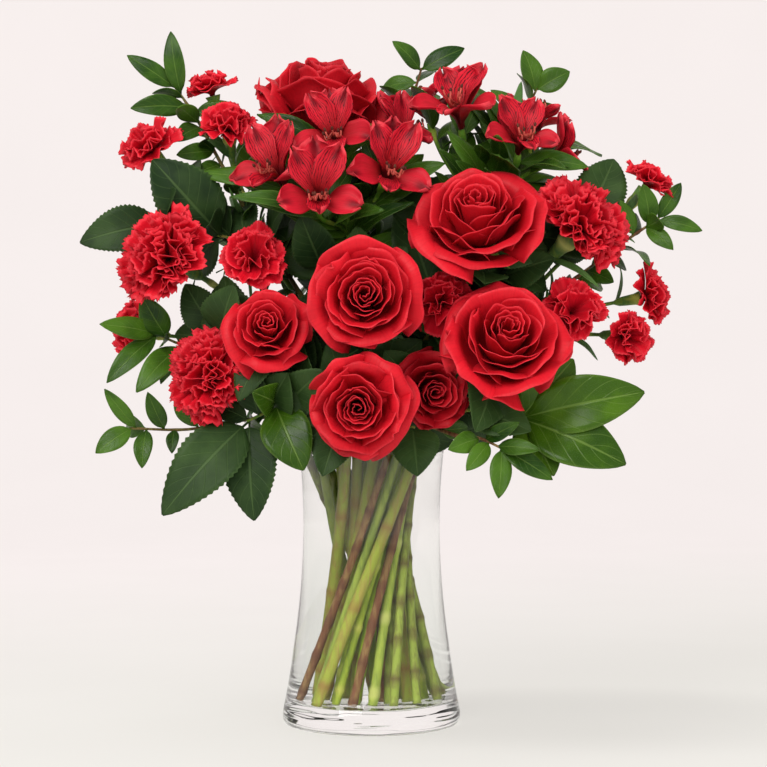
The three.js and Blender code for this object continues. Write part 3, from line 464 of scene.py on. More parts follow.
def towards(origin: Vector, target: Vector, length: float) -> Vector:
    """The point `length` from origin in the direction of target."""
    return origin + (target - origin).normalized() * length


def smooth_line(points: Sequence[Vector], steps: int) -> list[Vector]:
    """A rounded line that passes through points.

    Args:
        points: the points.
        steps: how many pieces there are between each two.

    Returns:
        The line's points, with both ends.
    """
    padded = [points[0] * 2 - points[1], *points, points[-1] * 2 - points[-2]]
    line: list[Vector] = []
    for a, b, c, d in zip(padded, padded[1:], padded[2:], padded[3:]):
        for i in range(steps):
            t = i / steps
            line.append(0.5 * (2 * b + (c - a) * t + (2 * a - 5 * b + 4 * c - d) * t * t
                               + (3 * b - a - 3 * c + d) * t * t * t))
    return [*line, points[-1].copy()]


@dataclass(frozen=True)
class Gauge:
    """A kind of stem: its radius at the foot, neck and top, and the space between its branches."""

    foot: float
    neck: float
    top: float
    stagger: float = 0.0


GAUGES = {
    Kind.ROSE: Gauge(3.8, 3.3, 2.4),
    Kind.CARNATION: Gauge(3.0, 2.6, 2.0),
    Kind.SPRAY: Gauge(2.6, 2.2, 1.7, 9),
    Kind.ALSTROEMERIA: Gauge(3.3, 2.9, 2.2, 4),
    Kind.WOODY: Gauge(2.8, 2.2, 0.8),
    Kind.STALK: Gauge(3.0, 2.6, 1.4),
}

# What swells under each kind of bloom, as (millimetres down from it, radius).
CALYXES = {
    Kind.ROSE: ((12, 2.4), (7, 4.6), (0.3, 4.8)),
    Kind.CARNATION: ((27, 2.0), (23, 4.6), (0.3, 6.2)),
    Kind.SPRAY: ((19, 1.3), (16, 3.2), (0.3, 4.4)),
    Kind.ALSTROEMERIA: ((12, 1.4), (7, 3.1), (0.3, 2.2)),
}

# A bloom's height, and how far up it its stated middle lies, as shares of its radius and height.
STATURES = {
    Kind.ROSE: (1.02, 0.6),
    Kind.CARNATION: (0.92, 0.55),
    Kind.SPRAY: (0.92, 0.55),
    Kind.ALSTROEMERIA: (1.0, 0.75),
}


@dataclass
class Seat:
    """Where a bloom sits: its axes, radius and the middle of its seat, in millimetres."""

    flower: Flower

    def __post_init__(self) -> None:
        """Works the seat out of the flower's place."""
        x, y, self.z = facing(Vector(self.flower.facing))
        spin = Quaternion(self.z, radians(self.flower.turn))
        self.x, self.y = spin @ x, spin @ y
        self.radius = self.flower.across / 2
        height, centre = STATURES[self.flower.kind]
        self.origin = Vector(self.flower.middle) - self.z * (centre * height * self.radius)

    def frame(self) -> Matrix:
        """The matrix from shares of the bloom's radius to metres in the part's frame."""
        turned = Matrix((self.x, self.y, self.z)).transposed().to_4x4()
        return Matrix.Translation(self.origin * MM) @ turned @ Matrix.Scale(self.radius * MM, 4)

    def calyx(self) -> Run:
        """The points and radii of what swells under the bloom, from below to its seat."""
        profile = CALYXES[self.flower.kind]
        return [self.origin - self.z * down for down, _ in profile], [r for _, r in profile]


@dataclass
class GrownLeaf:
    """A leaf as it grew, from its root by its reach, with the way that its upper face looks."""

    root: Vector
    reach: Vector
    width: float
    form: Form
    outward: Vector
    seed: float


@dataclass
class Grown:
    """A plant as it grew.

    Attributes:
        runs: the points and radii of its stem, branches and twigs.
        lines: the fewer points that they have in the part's solids.
    """

    plant: Plant
    runs: list[Run] = field(default_factory=list)
    lines: list[list[Vector]] = field(default_factory=list)
    leaves: list[GrownLeaf] = field(default_factory=list)


def bends(amounts: Sequence[float]) -> list[Pair]:
    """The bends that the part may have chosen from: none, or each amount in eight directions."""
    turns = [radians(turn) for turn in range(0, 360, 45)]
    return [(0.0, 0.0), *((a * cos(t), a * sin(t)) for a in amounts for t in turns)]


@dataclass
class Growth:
    """Grows every plant from the named places, as the part does.

    Attributes:
        seats: where each bloom sits.
        turn, spread, shift: how the feet stand, turned from the neck places, further out and moved.
        neck, reach, lag, widest: how neck places follow from what a stem leans towards.
        rounds, share, gap, radius, drift: how stems make room for each other in the neck.
    """

    # What the part may have chosen from, and how near its corners have to be.
    STEM_BENDS = bends((9, 18, 28))
    LEAF_BENDS = bends((12, 24, 38))
    STEM_MATCH, LEAF_MATCH = 0.05, 0.3

    # Heights, depths and radii in millimetres.
    FOOT_HEIGHT, ROOT_DEPTH = 15.3, 2.0
    TWIG_RADII = (1.5, 0.9)
    FORK_SWELL, MIDDLE_SWELL = 0.4, 0.1

    # The pieces of a stem's and a branch's curve in the part, and how many times finer they are here.
    CURVE_STEPS, BRANCH_STEPS, FINER, STRAIGHT_STEPS = 4, 2, 5, 12

    # How far a curve keeps its ends' directions, as a share of its length and in millimetres.
    HOLD, LONGEST_HOLD = 0.38, 34

    seats: dict[str, Seat]
    turn: float = -105.0
    spread: float = 1.25
    shift: Pair = (7, -4)
    neck: float = 200.0
    reach: float = 42.5
    lag: float = 24.0
    widest: float = 100.0
    rounds: int = 500
    share: float = 1.62
    gap: float = 1.3
    radius: float = 45.0
    drift: float = 0.004

    def grow(self) -> dict[str, Grown]:
        """Grows all plants.

        Returns:
            Each plant as it grew, by its name.
        """
        grown = {plant.name: Grown(plant) for plant in PLANTS}
        for plant, place in zip(PLANTS, self.settle_neck()):
            self.grow_stem(grown[plant.name], place)
        for plant in PLANTS:
            for number, name in enumerate(plant.blooms if plant.fork else ()):
                self.grow_branch(grown[plant.name], name, number)
        for plant in PLANTS:
            for twig in plant.twigs:
                self.grow_twig(grown[plant.name], twig)
            for leaf in plant.leaves:
                self.grow_leaf(grown[plant.name], plant.form, leaf)
        return grown

    def end_of(self, plant: Plant) -> Vector:
        """Where a plant's stem ends.

        Args:
            plant: the plant.

        Returns:
            Its fork, its line's start or the place under its one bloom.
        """
        if plant.fork:
            return Vector(plant.fork)
        if plant.line:
            return Vector(plant.line[0])
        return self.seats[plant.blooms[0]].calyx()[0][0]

    def settle_neck(self) -> list[np.ndarray]:
        """Finds the places of the stems in the neck, so that they clear each other down the vase.

        Returns:
            A place across the axis for each plant, in order.
        """
        places = []
        for plant in PLANTS:
            aim = np.array(self.end_of(plant)) - (0, 0, self.neck)
            polar = degrees(acos(aim[2] / np.linalg.norm(aim)))
            azimuth = atan2(aim[1], aim[0]) - radians(self.lag)
            distance = self.reach * min(1.0, polar / self.widest)
            places.append(np.array((distance * cos(azimuth), distance * sin(azimuth))))
        feet = [GAUGES[plant.kind].foot for plant in PLANTS]
        for _ in range(self.rounds):
            for i in range(len(places)):
                for j in range(i):
                    apart = places[i] - places[j]
                    length = hypot(*apart)
                    short = (feet[i] + feet[j]) * self.share + self.gap - length
                    if short > 0:
                        apart = apart * (short / 2 / length)
                        places[i] = places[i] + apart
                        places[j] = places[j] - apart
            for i, foot in enumerate(feet):
                places[i] = places[i] + (self.drift, 0)
                length = hypot(*places[i])
                if length > self.radius - foot:
                    places[i] = places[i] * ((self.radius - foot) / length)
        return places

    @staticmethod
    def curve(start: Vector, out: Vector, end: Vector, into: Vector, bend: Pair,
              steps: int) -> list[Vector]:
        """Points of a curve that leaves start along out and reaches end along into.

        Args:
            start, out, end, into: the ends of the curve and its directions there.
            bend: how far its middle is pushed to its right and up, in millimetres.
            steps: how many pieces it has.

        Returns:
            The points, with both ends.
        """
        reach = Growth.HOLD * (end - start).length
        x, y, _ = facing(end - start)
        push = x * bend[0] + y * bend[1]
        first = start + out * reach + push
        second = end - into * min(reach, Growth.LONGEST_HOLD) + push
        points = []
        for i in range(steps + 1):
            t, s = i / steps, 1 - i / steps
            points.append(
                start * s ** 3 + first * 3 * s * s * t + second * 3 * s * t * t + end * t ** 3)
        return points

    @staticmethod
    def corners_of(name: str) -> np.ndarray:
        """All corners of a part's node.

        Args:
            name: the node.

        Returns:
            The corners in millimetres, one in a row.
        """
        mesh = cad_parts[name].data
        places = np.empty(len(mesh.vertices) * 3)
        mesh.vertices.foreach_get("co", places)
        return places.reshape(-1, 3) / MM

    def chosen(self, name: str, probes: Callable[[Pair], list[Probe]]) -> Pair:
        """The bend that the part chose for a stem.

        Args:
            name: the part's node.
            probes: gives, for a bend, points on the stem's axis and its radius there.

        Returns:
            The bend whose points have the most of the node's corners at just that radius.
        """
        corners = self.corners_of(name)

        def score(bend: Pair) -> int:
            """How many corners lie at just the radius from the axis that a bend gives."""
            gaps = [abs(np.linalg.norm(corners - spot, axis=1) - size) for spot, size in probes(bend)]
            return int((np.array(gaps) < self.STEM_MATCH).sum())

        return max(self.STEM_BENDS, key=score)

    def grow_stem(self, grown: Grown, place: np.ndarray) -> None:
        """Grows a stem from the floor of the vase to what it carries.

        Args:
            grown: what gets it.
            place: where the stem passes through the neck.
        """
        plant, gauge = grown.plant, GAUGES[grown.plant.kind]
        angle = radians(self.turn)
        foot = (place * self.spread) @ np.array(((cos(angle), sin(angle)),
                                                 (-sin(angle), cos(angle)))) + self.shift
        bottom = Vector((*foot, self.FOOT_HEIGHT))
        neck = Vector((*place, self.neck))
        lean = (neck - bottom).normalized()
        end = self.end_of(plant)
        line = [Vector(point) for point in plant.line[1:]]
        points, radii, into = [], [], (line[0] - end if line else end - neck).normalized()
        if not plant.fork and not plant.line:
            seat = self.seats[plant.blooms[0]]
            into = seat.z
            points, radii = seat.calyx()
        last = self.CURVE_STEPS + len(line)

        def probes(bend: Pair) -> list[Probe]:
            """Points inside the curve with the stem's radius there."""
            inside = self.curve(neck, lean, end, into, bend, self.CURVE_STEPS)[1:-1]
            return [(spot, mix(gauge.neck, gauge.top, i / last)) for i, spot in enumerate(inside, 1)]

        bend = self.chosen(plant.name, probes)
        grown.lines.append([*self.curve(neck, lean, end, into, bend, self.CURVE_STEPS), *line])
        fine = self.curve(neck, lean, end, into, bend, self.FINER * self.CURVE_STEPS)
        if line:
            fine += smooth_line([fine[-2], end, *line], self.FINER)[self.FINER + 1:]
        shares = [i / self.STRAIGHT_STEPS for i in range(self.STRAIGHT_STEPS)]
        run = [*(bottom.lerp(neck, share) for share in shares), *fine, *points[1:]]
        sizes = [mix(gauge.foot, gauge.neck, share) for share in shares]
        sizes += [mix(gauge.neck, gauge.top, i / (len(fine) - 1)) for i in range(len(fine))]
        grown.runs.append((run, [*sizes, *radii[1:]]))

    def grow_branch(self, grown: Grown, name: str, number: int) -> None:
        """Grows a branch from a plant's fork to one of its blooms.

        Args:
            grown: the plant.
            name: the bloom.
            number: its place among the plant's blooms.
        """
        calyx, radii = self.seats[name].calyx()
        below, top = grown.lines[0][-2:]
        start = towards(top, below, 1 + number * GAUGES[grown.plant.kind].stagger)
        out = (calyx[0] - start).normalized().lerp(UP, 0.3).normalized()
        into = self.seats[name].z

        def probes(bend: Pair) -> list[Probe]:
            """The branch's middle with its radius there."""
            rough = self.curve(start, out, calyx[0], into, bend, self.BRANCH_STEPS)
            return [(rough[1], radii[0] + self.MIDDLE_SWELL)]

        bend = self.chosen(grown.plant.name, probes)
        grown.lines.append(self.curve(start, out, calyx[0], into, bend, self.BRANCH_STEPS))
        steps = self.STRAIGHT_STEPS
        fine = self.curve(start, out, calyx[0], into, bend, steps)
        sizes = [mix(radii[0] + self.FORK_SWELL, radii[0], i / steps) for i in range(steps + 1)]
        grown.runs.append(([*fine, *calyx[1:]], [*sizes, *radii[1:]]))

    def grow_twig(self, grown: Grown, twig: Twig) -> None:
        """Grows a side twig and its leaves.

        Args:
            grown: what gets them.
            twig: the twig as the part places it.
        """
        stem = grown.lines[0]
        start = stem[int(twig.share * (len(stem) - 1) + 0.5)]
        line = [Vector(point) for point in twig.line]
        width = mix(*self.TWIG_RADII, 1 / (len(line) + 1))

        def middle(bend: Pair) -> Vector:
            """The twig's first turn."""
            return start.lerp(line[0], 0.5) + Vector((bend[0], 0, bend[1])) * 0.6

        bend = self.chosen(grown.plant.name, lambda bend: [(middle(bend), width)])
        points = [start, middle(bend), *line]
        grown.lines.append(points)
        fine = smooth_line(points, self.FINER)
        sizes = [mix(*self.TWIG_RADII, i / (len(fine) - 1)) for i in range(len(fine))]
        grown.runs.append((fine, sizes))
        for leaf in twig.leaves:
            self.grow_leaf(grown, twig.form, leaf)

    def nearest(self, grown: Grown, target: Vector) -> Vector:
        """The nearest point of a plant's stem, branches and twigs, as the part finds it.

        Args:
            grown: the plant.
            target: the point that it is near.

        Returns:
            The point on their axes, a little way in from their ends.
        """
        best: Vector | None = None
        for points in grown.lines:
            for a, b in zip(points, points[1:]):
                share = (target - a).dot(b - a) / (b - a).length_squared
                spot = a.lerp(b, min(1.0, max(0.0, share)))
                if best is None or (spot - target).length < (best - target).length:
                    best = spot
            if best is not None and (best - points[-1]).length <= self.ROOT_DEPTH:
                best = towards(points[-1], points[-2], self.ROOT_DEPTH)
        return best

    def grow_leaf(self, grown: Grown, form: Form, leaf: Leaf) -> None:
        """Grows a leaf where the part's node has one, with the swing that it has there.

        Args:
            grown: what gets it.
            form: its outline.
            leaf: the leaf as the part places it.
        """
        root = self.nearest(grown, Vector(leaf.base))
        outward = Vector((root.x, root.y, 0)).normalized().lerp(UP, 0.55)
        corners = self.corners_of(grown.plant.name)
        straight = Vector(leaf.tip) - root
        level = straight.cross(outward).normalized()

        def reach_of(swing: Pair) -> Vector:
            """The way from root to tip after a swing to the side and up."""
            raised = Quaternion(level, radians(swing[1])) @ straight
            return Quaternion(UP, radians(swing[0])) @ raised

        def miss(swing: Pair) -> float:
            """How far the nearest corner is from the tip."""
            return float(np.linalg.norm(corners - (root + reach_of(swing)), axis=1).min())

        swing = min(self.LEAF_BENDS, key=miss)
        if miss(swing) < self.LEAF_MATCH:
            seed = leaf.tip[0] + 0.37 * leaf.tip[2]
            seen = outward.lerp(-BACK, 0.75 * smooth(75, 45, root.y))
            grown.leaves.append(GrownLeaf(root, reach_of(swing), leaf.width, form, seen, seed))
        else:
            log.info("%s has no leaf at %s", grown.plant.name, leaf.tip)


@dataclass
class Piece:
    """A visible object in the making: one mesh of sheets, tubes and turned shapes.

    Attributes:
        tone: the number at each point that its finish reads, from 0 to 1 or above 1 for stripes.
    """

    SEAM = 1e-7

    name: str
    bm: bmesh.types.BMesh = field(default_factory=bmesh.new)

    def __post_init__(self) -> None:
        """Gives the mesh its map and its tones."""
        self.bm.loops.layers.uv.new("UVMap")
        self.tone = self.bm.verts.layers.float.new("tone")

    def sheet(self, columns: int, rows: int, place: Shape, tone: float = 0.5, material: int = 0
              ) -> list[bmesh.types.BMVert]:
        """Adds a sheet.

        Args:
            columns, rows: its faces across and along.
            place: gives the point in metres at -1 to 1 across and 0 to 1 along.
            tone: the tone of all its points.
            material: the number of its material.

        Returns:
            Its points.
        """
        verts = bmesh.ops.create_grid(
            self.bm, x_segments=columns, y_segments=rows, size=1.0, calc_uvs=True)["verts"]
        for vert in verts:
            vert.co = place(vert.co.x, (vert.co.y + 1) / 2)
            vert[self.tone] = tone
        for face in {face for vert in verts for face in vert.link_faces}:
            face.material_index = material
        return verts

    def rolled(self, columns: int, rows: int, place: Shape, tone: float = 0.5, material: int = 0
               ) -> None:
        """Adds a sheet whose two sides meet, and closes its ends.

        Args:
            columns, rows, place, tone, material: as for a sheet.
        """
        verts = self.sheet(columns, rows, place, tone, material)
        edges = [edge for vert in verts for edge in vert.link_edges if edge.is_boundary]
        rim = list(dict.fromkeys(vert for edge in edges for vert in edge.verts))
        bmesh.ops.remove_doubles(self.bm, verts=rim, dist=self.SEAM)
        ends = [edge for vert in rim if vert.is_valid for edge in vert.link_edges if edge.is_boundary]
        bmesh.ops.holes_fill(self.bm, edges=list(dict.fromkeys(ends)), sides=columns)

    def tube(self, path: Sequence[Vector], radii: Sequence[float], sides: int,
             tone: float = 0.5, material: int = 0) -> None:
        """Adds a closed tube.

        Args:
            path: the points that it runs along, in millimetres.
            radii: its radius at each.
            sides: the faces around it.
            tone, material: as for a sheet.
        """
        spots = list(zip(path, radii, *zip(*across(path))))
        last = len(spots) - 1

        def place(u: float, v: float) -> Vector:
            """A point of the tube's skin."""
            spot, radius, x, y = spots[round(v * last)]
            return (spot + (x * cos(pi * u) + y * sin(pi * u)) * radius) * MM

        self.rolled(sides, last, place, tone, material)

    def turned(self, profile: Profile, sides: int) -> None:
        """Adds a shape turned about the part's axis.

        Args:
            profile: its outline from axis to axis, in millimetres.
            sides: the faces around it.
        """
        last = len(profile) - 1

        def place(u: float, v: float) -> Vector:
            """A point of the turned outline."""
            out, up = profile[round(v * last)]
            return around(out, 0.0, up, pi * u) * MM

        self.rolled(sides, last, place)

    def finish(self, materials: Sequence[Material], nodes: Sequence[str], slot: str,
               thickness: float = 0.0) -> bpy.types.Object:
        """Makes the object, dresses it, hangs it on the root and hides the part's nodes that it stands
        for.

        Args:
            materials: its materials by number.
            nodes: the part's nodes that it stands for.
            slot: not used.
            thickness: what its sheets are thickened to, in millimetres.

        Returns:
            The object.
        """
        mesh = bpy.data.meshes.new(self.name)
        self.bm.to_mesh(mesh)
        self.bm.free()
        for material in materials:
            mesh.materials.append(material)
        mesh.shade_smooth()
        piece = bpy.data.objects.new(self.name, mesh)
        bpy.context.scene.collection.objects.link(piece)
        if thickness:
            solid = piece.modifiers.new("thickness", "SOLIDIFY")
            solid.thickness = thickness * MM
            solid.offset = 0
        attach(piece, "root")
        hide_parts(*nodes)
        log.info("%s: %d faces", self.name, len(mesh.polygons))
        return piece


def across(path: Sequence[Vector]) -> list[tuple[Vector, Vector]]:
    """Two axes across a path at each of its points, which turn as little as they can.

    Args:
        path: the points.

    Returns:
        The two axes for each point.
    """
    ends = [path[0], *path, path[-1]]
    tangents = [(after - before).normalized() for before, after in zip(ends, ends[2:])]
    x = tangents[0].orthogonal().normalized()
    axes = []
    for before, tangent in zip([tangents[0], *tangents], tangents):
        x = before.rotation_difference(tangent) @ x
        x = (x - tangent * x.dot(tangent)).normalized()
        axes.append((x, tangent.cross(x)))
    return axes


def resampled(path: Sequence[Vector], radii: Sequence[float], step: float
              ) -> tuple[list[Vector], list[float], list[float]]:
    """Even points along a path.

    Args:
        path: its points.
        radii: its radius at each.
        step: about how far apart the even points are to be.

    Returns:
        The points, their radii and their distances along the path.
    """
    lengths = [0.0]
    for a, b in zip(path, path[1:]):
        lengths.append(lengths[-1] + (b - a).length)
    count = max(2, round(lengths[-1] / step))
    stops = [lengths[-1] * i / count for i in range(count + 1)]
    columns = [np.interp(stops, lengths, [point[i] for point in path]) for i in range(3)]
    return [Vector(spot) for spot in zip(*columns)], list(np.interp(stops, lengths, radii)), stops


@dataclass
class Shader:
    """A material's nodes in the making.

    Attributes:
        uv, u, v: the place on a piece's map, and the parts of it across and along.
        place: the place in the part's frame, in metres.
        tone: the tone of the piece's points.
    """

    name: str

    def __post_init__(self) -> None:
        """Starts the material with its surface shader."""
        self.material = bpy.data.materials.new(self.name)
        self.material.use_nodes = True
        self.nodes = self.material.node_tree.nodes
        self.surface = self.nodes["Principled BSDF"]
        self.output = self.nodes["Material Output"]
        where = self.add("TexCoord", {})
        self.uv = where.outputs["UV"]
        self.place = where.outputs["Object"]
        parts = self.add("SeparateXYZ", {0: self.uv})
        self.u, self.v = parts.outputs[0], parts.outputs[1]
        self.tone = self.add("Attribute", {}, attribute_name="tone").outputs["Fac"]

    def add(self, kind: str, inputs: dict, **settings: object) -> bpy.types.Node:
        """Adds a node.

        Args:
            kind: its type without the words that all types begin with.
            inputs: a value or a socket for each input, by name or number.
            settings: its other settings.

        Returns:
            The node.
        """
        node = self.nodes.new("ShaderNode" + kind)
        for name, value in settings.items():
            setattr(node, name, value)
        self.feed(node, inputs)
        return node

    def feed(self, node: bpy.types.Node, inputs: dict) -> None:
        """Sets or links a node's inputs.

        Args:
            node: the node.
            inputs: as for a new one.
        """
        for name, value in inputs.items():
            if isinstance(value, Socket):
                self.material.node_tree.links.new(value, node.inputs[name])
            else:
                node.inputs[name].default_value = value

    def math(self, operation: str, *values: object, clamp: bool = False) -> Socket:
        """The result of a sum on numbers or sockets."""
        node = self.add("Math", dict(enumerate(values)), operation=operation, use_clamp=clamp)
        return node.outputs[0]

    def times(self, a: object, b: object) -> Socket:
        """The product of two numbers or sockets."""
        return self.math("MULTIPLY", a, b)

    def mixed(self, share: object, a: object, b: object, blend: str = "MIX") -> Socket:
        """Mixes two colours.

        Args:
            share: how much of the second there is.
            a, b: the colours, or sockets with them.
            blend: how they are mixed.

        Returns:
            The colour.
        """
        a, b = ((*c, 1.0) if isinstance(c, tuple) else c for c in (a, b))
        node = self.add("Mix", {}, data_type="RGBA", blend_type=blend)
        self.feed(node, {0: share, 6: a, 7: b})
        return node.outputs[2]

    def ramp(self, share: Socket, *stops: tuple[float, Colour]) -> Socket:
        """Runs a colour through stops.

        Args:
            share: how far along the stops it is.
            stops: the place and the colour of each.

        Returns:
            The colour.
        """
        node = self.add("ValToRGB", {0: share})
        marks = node.color_ramp.elements
        while len(marks) < len(stops):
            marks.new(1.0)
        for mark, (where, colour) in zip(marks, stops):
            mark.position = where
            mark.color = (*colour, 1.0)
        return node.outputs[0]

    def step(self, value: Socket, low: float, high: float) -> Socket:
        """0 to 1 as a value goes from low to high."""
        node = self.add("MapRange", {0: value, 1: low, 2: high}, interpolation_type="SMOOTHSTEP")
        return node.outputs[0]

    def wave(self, value: Socket, low: float, high: float) -> Socket:
        """0 to 1 as a wave that rises and falls once for each 1 of a value goes from low to high."""
        sine = self.math("SINE", self.times(value, pi))
        return self.step(self.math("ABSOLUTE", sine), low, high)

    def noise(self, where: Socket, scale: Place, detail: float = 2.0) -> Socket:
        """Even noise about 0.5, with a scale each way."""
        spread = self.add("Mapping", {"Vector": where, "Scale": scale}).outputs[0]
        return self.add("TexNoise", {"Vector": spread, "Scale": 1.0, "Detail": detail}).outputs[0]

    def bump(self, height: Socket, strength: float, depth: float) -> None:
        """Raises the surface by a height, depth in metres."""
        bump = self.add("Bump", {"Height": height, "Strength": strength, "Distance": depth})
        self.feed(self.surface, {"Normal": bump.outputs[0]})

    def let_through(self, share: float, colour: object) -> None:
        """Lets a share of the light through a thin surface."""
        glow = self.add("BsdfTranslucent", {"Color": colour})
        self.cover(share, glow.outputs[0])

    def cover(self, share: object, shader: Socket) -> None:
        """Mixes another shader over the surface."""
        both = self.add("MixShader", {0: share, 1: self.surface.outputs[0], 2: shader})
        self.feed(self.output, {"Surface": both.outputs[0]})


@dataclass(frozen=True)
class PetalFinish:
    """Petals: painted shade at the root, a thin painted highlight at the rim, and fine veins that fan
    out.

    Attributes:
        root, main, rim: the colour at the root as painted shade, through the middle, and at the lip as
            a painted highlight.
        shade: what the colour is multiplied by where the tone is 0, as painted shade deep in a bloom,
            and in random blotches.
        veins: how far the veins darken it.
        lip: where the rim's painted highlight begins, along the petal.
        stripes: the colour of the stripes and tips that some tepals have.
    """

    name: str
    root: Colour
    main: Colour
    rim: Colour
    shade: Colour = (0.42, 0.3, 0.35)
    veins: float = 0.35
    lip: float = 0.93
    stripes: Colour | None = None

    def build(self) -> Material:
        """Makes the material.

        Returns:
            The material.
        """
        s = Shader(self.name)
        # Painted shade: the colour is darkest at the root, where petals lie in each other's shade; a
        # painted highlight lightens the thin rim at the lip.
        body = s.ramp(s.v, (0.0, self.root), (0.3, self.root), (0.74, self.main), (self.lip, self.main),
                      (self.lip + 0.03, self.rim))
        fan = s.noise(s.uv, (46, 2.2, 1), 3)
        body = s.mixed(s.times(s.step(fan, 0.45, 0.7), self.veins), body, self.root)
        body = s.mixed(s.times(s.step(s.noise(s.place, (70, 70, 70), 3), 0.5, 0.75), 0.3),
                       body, self.shade, "MULTIPLY")
        # Painted shade: a low tone, which roses and carnations give their inner petals, darkens the
        # colour.
        body = s.mixed(s.math("SUBTRACT", 1.0, s.tone, clamp=True), body, self.shade, "MULTIPLY")
        if self.stripes:
            body = self.striped(s, body)
        s.feed(s.surface, {
            "Base Color": body,
            "Roughness": s.math("MULTIPLY_ADD", fan, 0.25, 0.38),
            "Specular IOR Level": 0.25,
            "Sheen Weight": 0.16,
            "Sheen Roughness": 0.4,
            "Sheen Tint": (*self.rim, 1.0),
        })
        s.bump(s.math("ADD", fan, s.noise(s.uv, (9, 5, 1))), 0.5, 0.0004)
        s.let_through(0.22, body)
        return s.material

    def striped(self, s: Shader, body: Socket) -> Socket:
        """Adds dashes to the tepals of tone above 1, and a dark throat and tips to all.

        Args:
            s: the material's nodes.
            body: the colour without them.

        Returns:
            The colour.
        """
        wobble = s.math("MULTIPLY_ADD", s.noise(s.uv, (6, 7, 1)), 2.2, s.times(s.u, 12.0))
        lines = s.wave(wobble, 0.5, 0.2)
        breaks = s.math("MULTIPLY_ADD", s.step(s.noise(s.uv, (9, 9, 1)), 0.36, 0.5), 0.6, 0.4)
        zone = s.times(s.step(s.v, 0.1, 0.3), s.step(s.v, 0.97, 0.86))
        marks = s.times(s.times(lines, breaks), zone)
        inner = s.step(s.tone, 1.0, 1.1)
        body = s.mixed(s.times(marks, inner), body, self.stripes)
        aside = s.math("ABSOLUTE", s.math("SUBTRACT", s.u, 0.5))
        patch = s.times(s.step(aside, 0.22, 0.04), s.step(s.v, 0.72, 0.9))
        throat = s.step(s.v, 0.42, 0.2)
        dark = s.math("MAXIMUM", s.times(patch, 0.7), s.times(throat, 0.75))
        return s.mixed(dark, body, self.stripes)


@dataclass(frozen=True)
class LeafFinish:
    """Leaves: green from dark to light by patches, with a pale midrib and side veins.

    Attributes:
        dark, light, vein: the colours.
        pairs: how many pairs of side veins there are.
        slant: how far they run forward.
        rough, gloss: the roughness, and how strongly it mirrors.
        show: how far the veins show.
    """

    name: str
    dark: Colour
    light: Colour
    vein: Colour
    pairs: float = 8
    slant: float = 4.0
    rough: float = 0.5
    gloss: float = 0.2
    show: float = 0.6

    def build(self) -> Material:
        """Makes the material.

        Returns:
            The material.
        """
        s = Shader(self.name)
        aside = s.math("ABSOLUTE", s.math("SUBTRACT", s.u, 0.5))
        patches = s.noise(s.place, (45, 45, 45), 4)
        share = s.math("ADD", s.times(s.step(patches, 0.35, 0.68), 0.5),
                       s.times(s.tone, 0.55), clamp=True)
        body = s.mixed(share, self.dark, self.light)
        forward = s.times(aside, self.slant)
        run = s.math("SUBTRACT", s.times(s.v, self.pairs), forward)
        ribs = s.wave(run, 0.22, 0.04)
        middle = s.step(aside, 0.035, 0.012)
        veins = s.math("MAXIMUM", middle, s.times(ribs, 0.45))
        body = s.mixed(s.times(veins, self.show), body, self.vein)
        body = s.mixed(s.times(s.step(aside, 0.44, 0.5), 0.3), body, self.vein)
        fine = s.noise(s.uv, (60, 90, 1), 3)
        s.feed(s.surface, {
            "Base Color": body,
            "Roughness": s.math("MULTIPLY_ADD", fine, 0.2, self.rough - 0.1),
            "Specular IOR Level": self.gloss,
        })
        height = s.math("SUBTRACT", s.times(fine, 0.35), veins)
        s.bump(height, 0.6, 0.0005)
        s.let_through(0.15, body)
        return s.material


@dataclass(frozen=True)
class StemFinish:
    """Stems: long fibres, flecks, joints by tone, and a tint and painted light that change where they
    leave the vase.

    Attributes:
        low, high: the colour inside the vase, painted brighter as if lit through the glass, and above
            it.
        joint: the colour of the joints.
        fleck: the colour of the flecks and fibres in the skin.
        rough: the roughness.
        flecks: how far the flecks show.
    """

    name: str
    low: Colour
    high: Colour
    joint: Colour
    fleck: Colour
    rough: float = 0.5
    flecks: float = 0.5

    def build(self) -> Material:
        """Makes the material.

        Returns:
            The material.
        """
        s = Shader(self.name)
        x, y, up = s.add("SeparateXYZ", {0: s.place}).outputs
        out = s.math("SQRT", s.math("MULTIPLY_ADD", x, x, s.times(y, y)))
        # Painted light: inside the vase the stems get the brighter low colour, as if lit through the
        # glass and water.
        above = s.math("MAXIMUM", s.step(up, 0.17, 0.24), s.step(out, 0.05, 0.062))
        body = s.mixed(above, self.low, self.high)
        fibre = s.noise(s.place, (420, 420, 30), 3)
        spots = s.noise(s.place, (240, 240, 110), 4)
        body = s.mixed(s.times(s.step(fibre, 0.42, 0.62), 0.6), body, self.fleck)
        body = s.mixed(s.times(s.step(spots, 0.55, 0.68), self.flecks), body, self.fleck)
        joints = s.math("SUBTRACT", s.times(s.tone, 2.0), 1.0, clamp=True)
        body = s.mixed(joints, body, self.joint)
        s.feed(s.surface, {
            "Base Color": body,
            "Roughness": s.math("MULTIPLY_ADD", spots, 0.3, self.rough - 0.15),
            "Specular IOR Level": 0.12,
        })
        s.bump(s.math("ADD", fibre, spots), 0.8, 0.0006)
        return s.material


